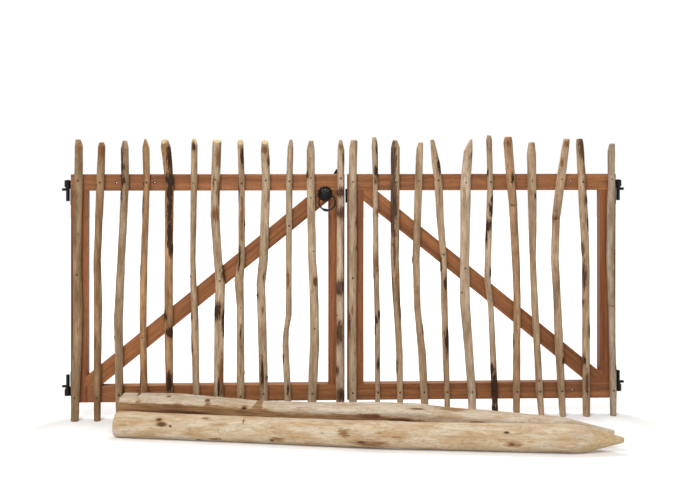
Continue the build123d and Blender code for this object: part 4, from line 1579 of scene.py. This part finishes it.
    def ring(self) -> None:
        """A wire ring with a turned grip low on its left."""
        centre, radius = self.ring_place()
        mesh = self.wire_ring(self.ring_wire)
        for vert in mesh.verts:
            off = vert.co - centre
            turn = math.degrees(math.atan2(off.z, off.x))
            gap = abs((turn - self.grip_middle + 180) % 360 - 180)
            rise = min(1.0, max(0.0, (self.grip_half - gap) / self.grip_end))
            bead = 0.12 * max(0.0, 1 - abs(gap - self.grip_half + self.grip_end) / 2.2)
            fullness = math.sqrt(rise) * (0.86 + bead) if rise else 0
            swell = 1 + (self.grip_wire / self.ring_wire - 1) * fullness
            core = centre + Vector((off.x, 0, off.z)).normalized() * radius
            vert.co = core + (vert.co - core) * swell
        bmesh.ops.recalc_face_normals(mesh, faces=mesh.faces)
        piece = piece_from(mesh, "ring_handle", self.steel)
        hand_over(piece, Body.LATCH, "latch_ring")


@dataclass
class Studio:
    """Plain pale floor, soft light and the camera."""

    floor: float
    camera_place: Vector = field(default_factory=lambda: Vector((1.0595, -4.1195, 1.0167)))
    camera_turn: float = -2.0
    lens: float = 49.96
    sensor: float = 36.0
    shift_y: float = -0.136
    # The floor's middle and half size, and what the lamps aim at, in metres
    middle: float = 1.2
    half_size: float = 12.0
    aim_height: float = 0.4
    # Each lamp's name, size, power in watts and place from what it aims at
    lamps: tuple[tuple, ...] = (
        ("softbox", 3.0, 350.0, (-2.2, -5.3, 5.0)), ("overhead", 1.5, 80.0, (0.2, 0.8, 2.9)))
    # The white room's brightness as light and as seen
    room: tuple[float, float] = (0.55, 1.0)

    def build(self) -> None:
        """Set up everything round the gate."""
        self.camera()
        self.ground()
        self.light()
        bpy.context.scene.view_settings.view_transform = "Standard"

    def camera(self) -> None:
        """A level camera in front of the gate's left leaf."""
        data = bpy.data.cameras.new("camera")
        data.lens = self.lens
        data.sensor_width = self.sensor
        data.sensor_fit = "HORIZONTAL"
        data.shift_y = self.shift_y
        data.clip_start = 0.05
        data.clip_end = 60.0
        camera = bpy.data.objects.new("camera", data)
        camera.location = self.camera_place
        camera.rotation_euler = Euler((math.pi / 2, 0.0, math.radians(self.camera_turn)))
        bpy.context.scene.collection.objects.link(camera)
        bpy.context.scene.camera = camera

    def ground(self) -> None:
        """The pale floor."""
        mesh = bmesh.new()
        bmesh.ops.create_grid(mesh, x_segments=1, y_segments=1, size=self.half_size)
        bmesh.ops.translate(mesh, verts=mesh.verts, vec=(self.middle, 0.0, self.floor))
        floor = piece_from(mesh, "studio_floor", PaperSweep().build(), smooth=False)
        floor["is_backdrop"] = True

    def light(self) -> None:
        """A large softbox in front and to the left, a smaller one overhead, and a white room."""
        aim = Vector((self.middle, 0.0, self.aim_height))
        for name, size, power, away in self.lamps:
            data = bpy.data.lights.new(name, "AREA")
            data.shape = "DISK"
            data.size = size
            data.energy = power
            lamp = bpy.data.objects.new(name, data)
            lamp.location = aim + Vector(away)
            lamp.rotation_euler = (aim - lamp.location).to_track_quat("-Z", "Y").to_euler()
            bpy.context.scene.collection.objects.link(lamp)
        world = bpy.data.worlds.new("white_room")
        world.use_nodes = True
        tree = world.node_tree
        tree.nodes.clear()
        ray = add_node(tree, "ShaderNodeLightPath")
        seen = add_node(tree, MATH, {"operation": "MAXIMUM"}, {
            0: ray.outputs["Is Camera Ray"], 1: ray.outputs["Is Glossy Ray"]})
        seen = add_node(tree, MATH, {"operation": "MAXIMUM"}, {
            0: seen.outputs[0], 1: ray.outputs["Is Transmission Ray"]})
        strength = add_node(tree, MAP_RANGE, inputs={
            "Value": seen.outputs[0], "To Min": self.room[0], "To Max": self.room[1]})
        background = add_node(tree, "ShaderNodeBackground", inputs={
            "Color": WHITE, "Strength": strength.outputs[0]})
        add_node(tree, "ShaderNodeOutputWorld", inputs={"Surface": background.outputs[0]})
        bpy.context.scene.world = world


def main() -> None:
    """Build the gate round its frame, and log the faces of each worked timber."""
    logging.basicConfig(level=logging.INFO, format="%(name)s %(message)s")
    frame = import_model()
    nodes = frame["nodes"]
    frame_low, frame_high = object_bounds()
    floor = frame_low.z
    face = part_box("left_top_rail")[0].y
    Studio(floor).build()
    for hand, body in ((Hand.LEFT, Body.LEFT_LEAF), (Hand.RIGHT, Body.RIGHT_LEAF)):
        Leaf(hand, body, floor, face).build(nodes)
    for post in (
            LyingPost("front_post", 8.3, FRONT_POST_MARKS, FRONT_POST_STAIN, ("#CBBCA4", "#B29570")),
            LyingPost("back_post", 9.2, BACK_POST_MARKS, BACK_POST_STAIN, ("#CDC1AF", "#B49C7E"))):
        post.build(nodes, floor)
    steel = CoatedSteel("black_powder_coated_steel").build()
    RingLatch(steel).build(nodes)
    for node in ("left_hinge_plates", "right_hinge_plates", "left_gudgeons", "right_gudgeons"):
        clad(nodes[node], steel)


if __name__ == "__main__":
    main()
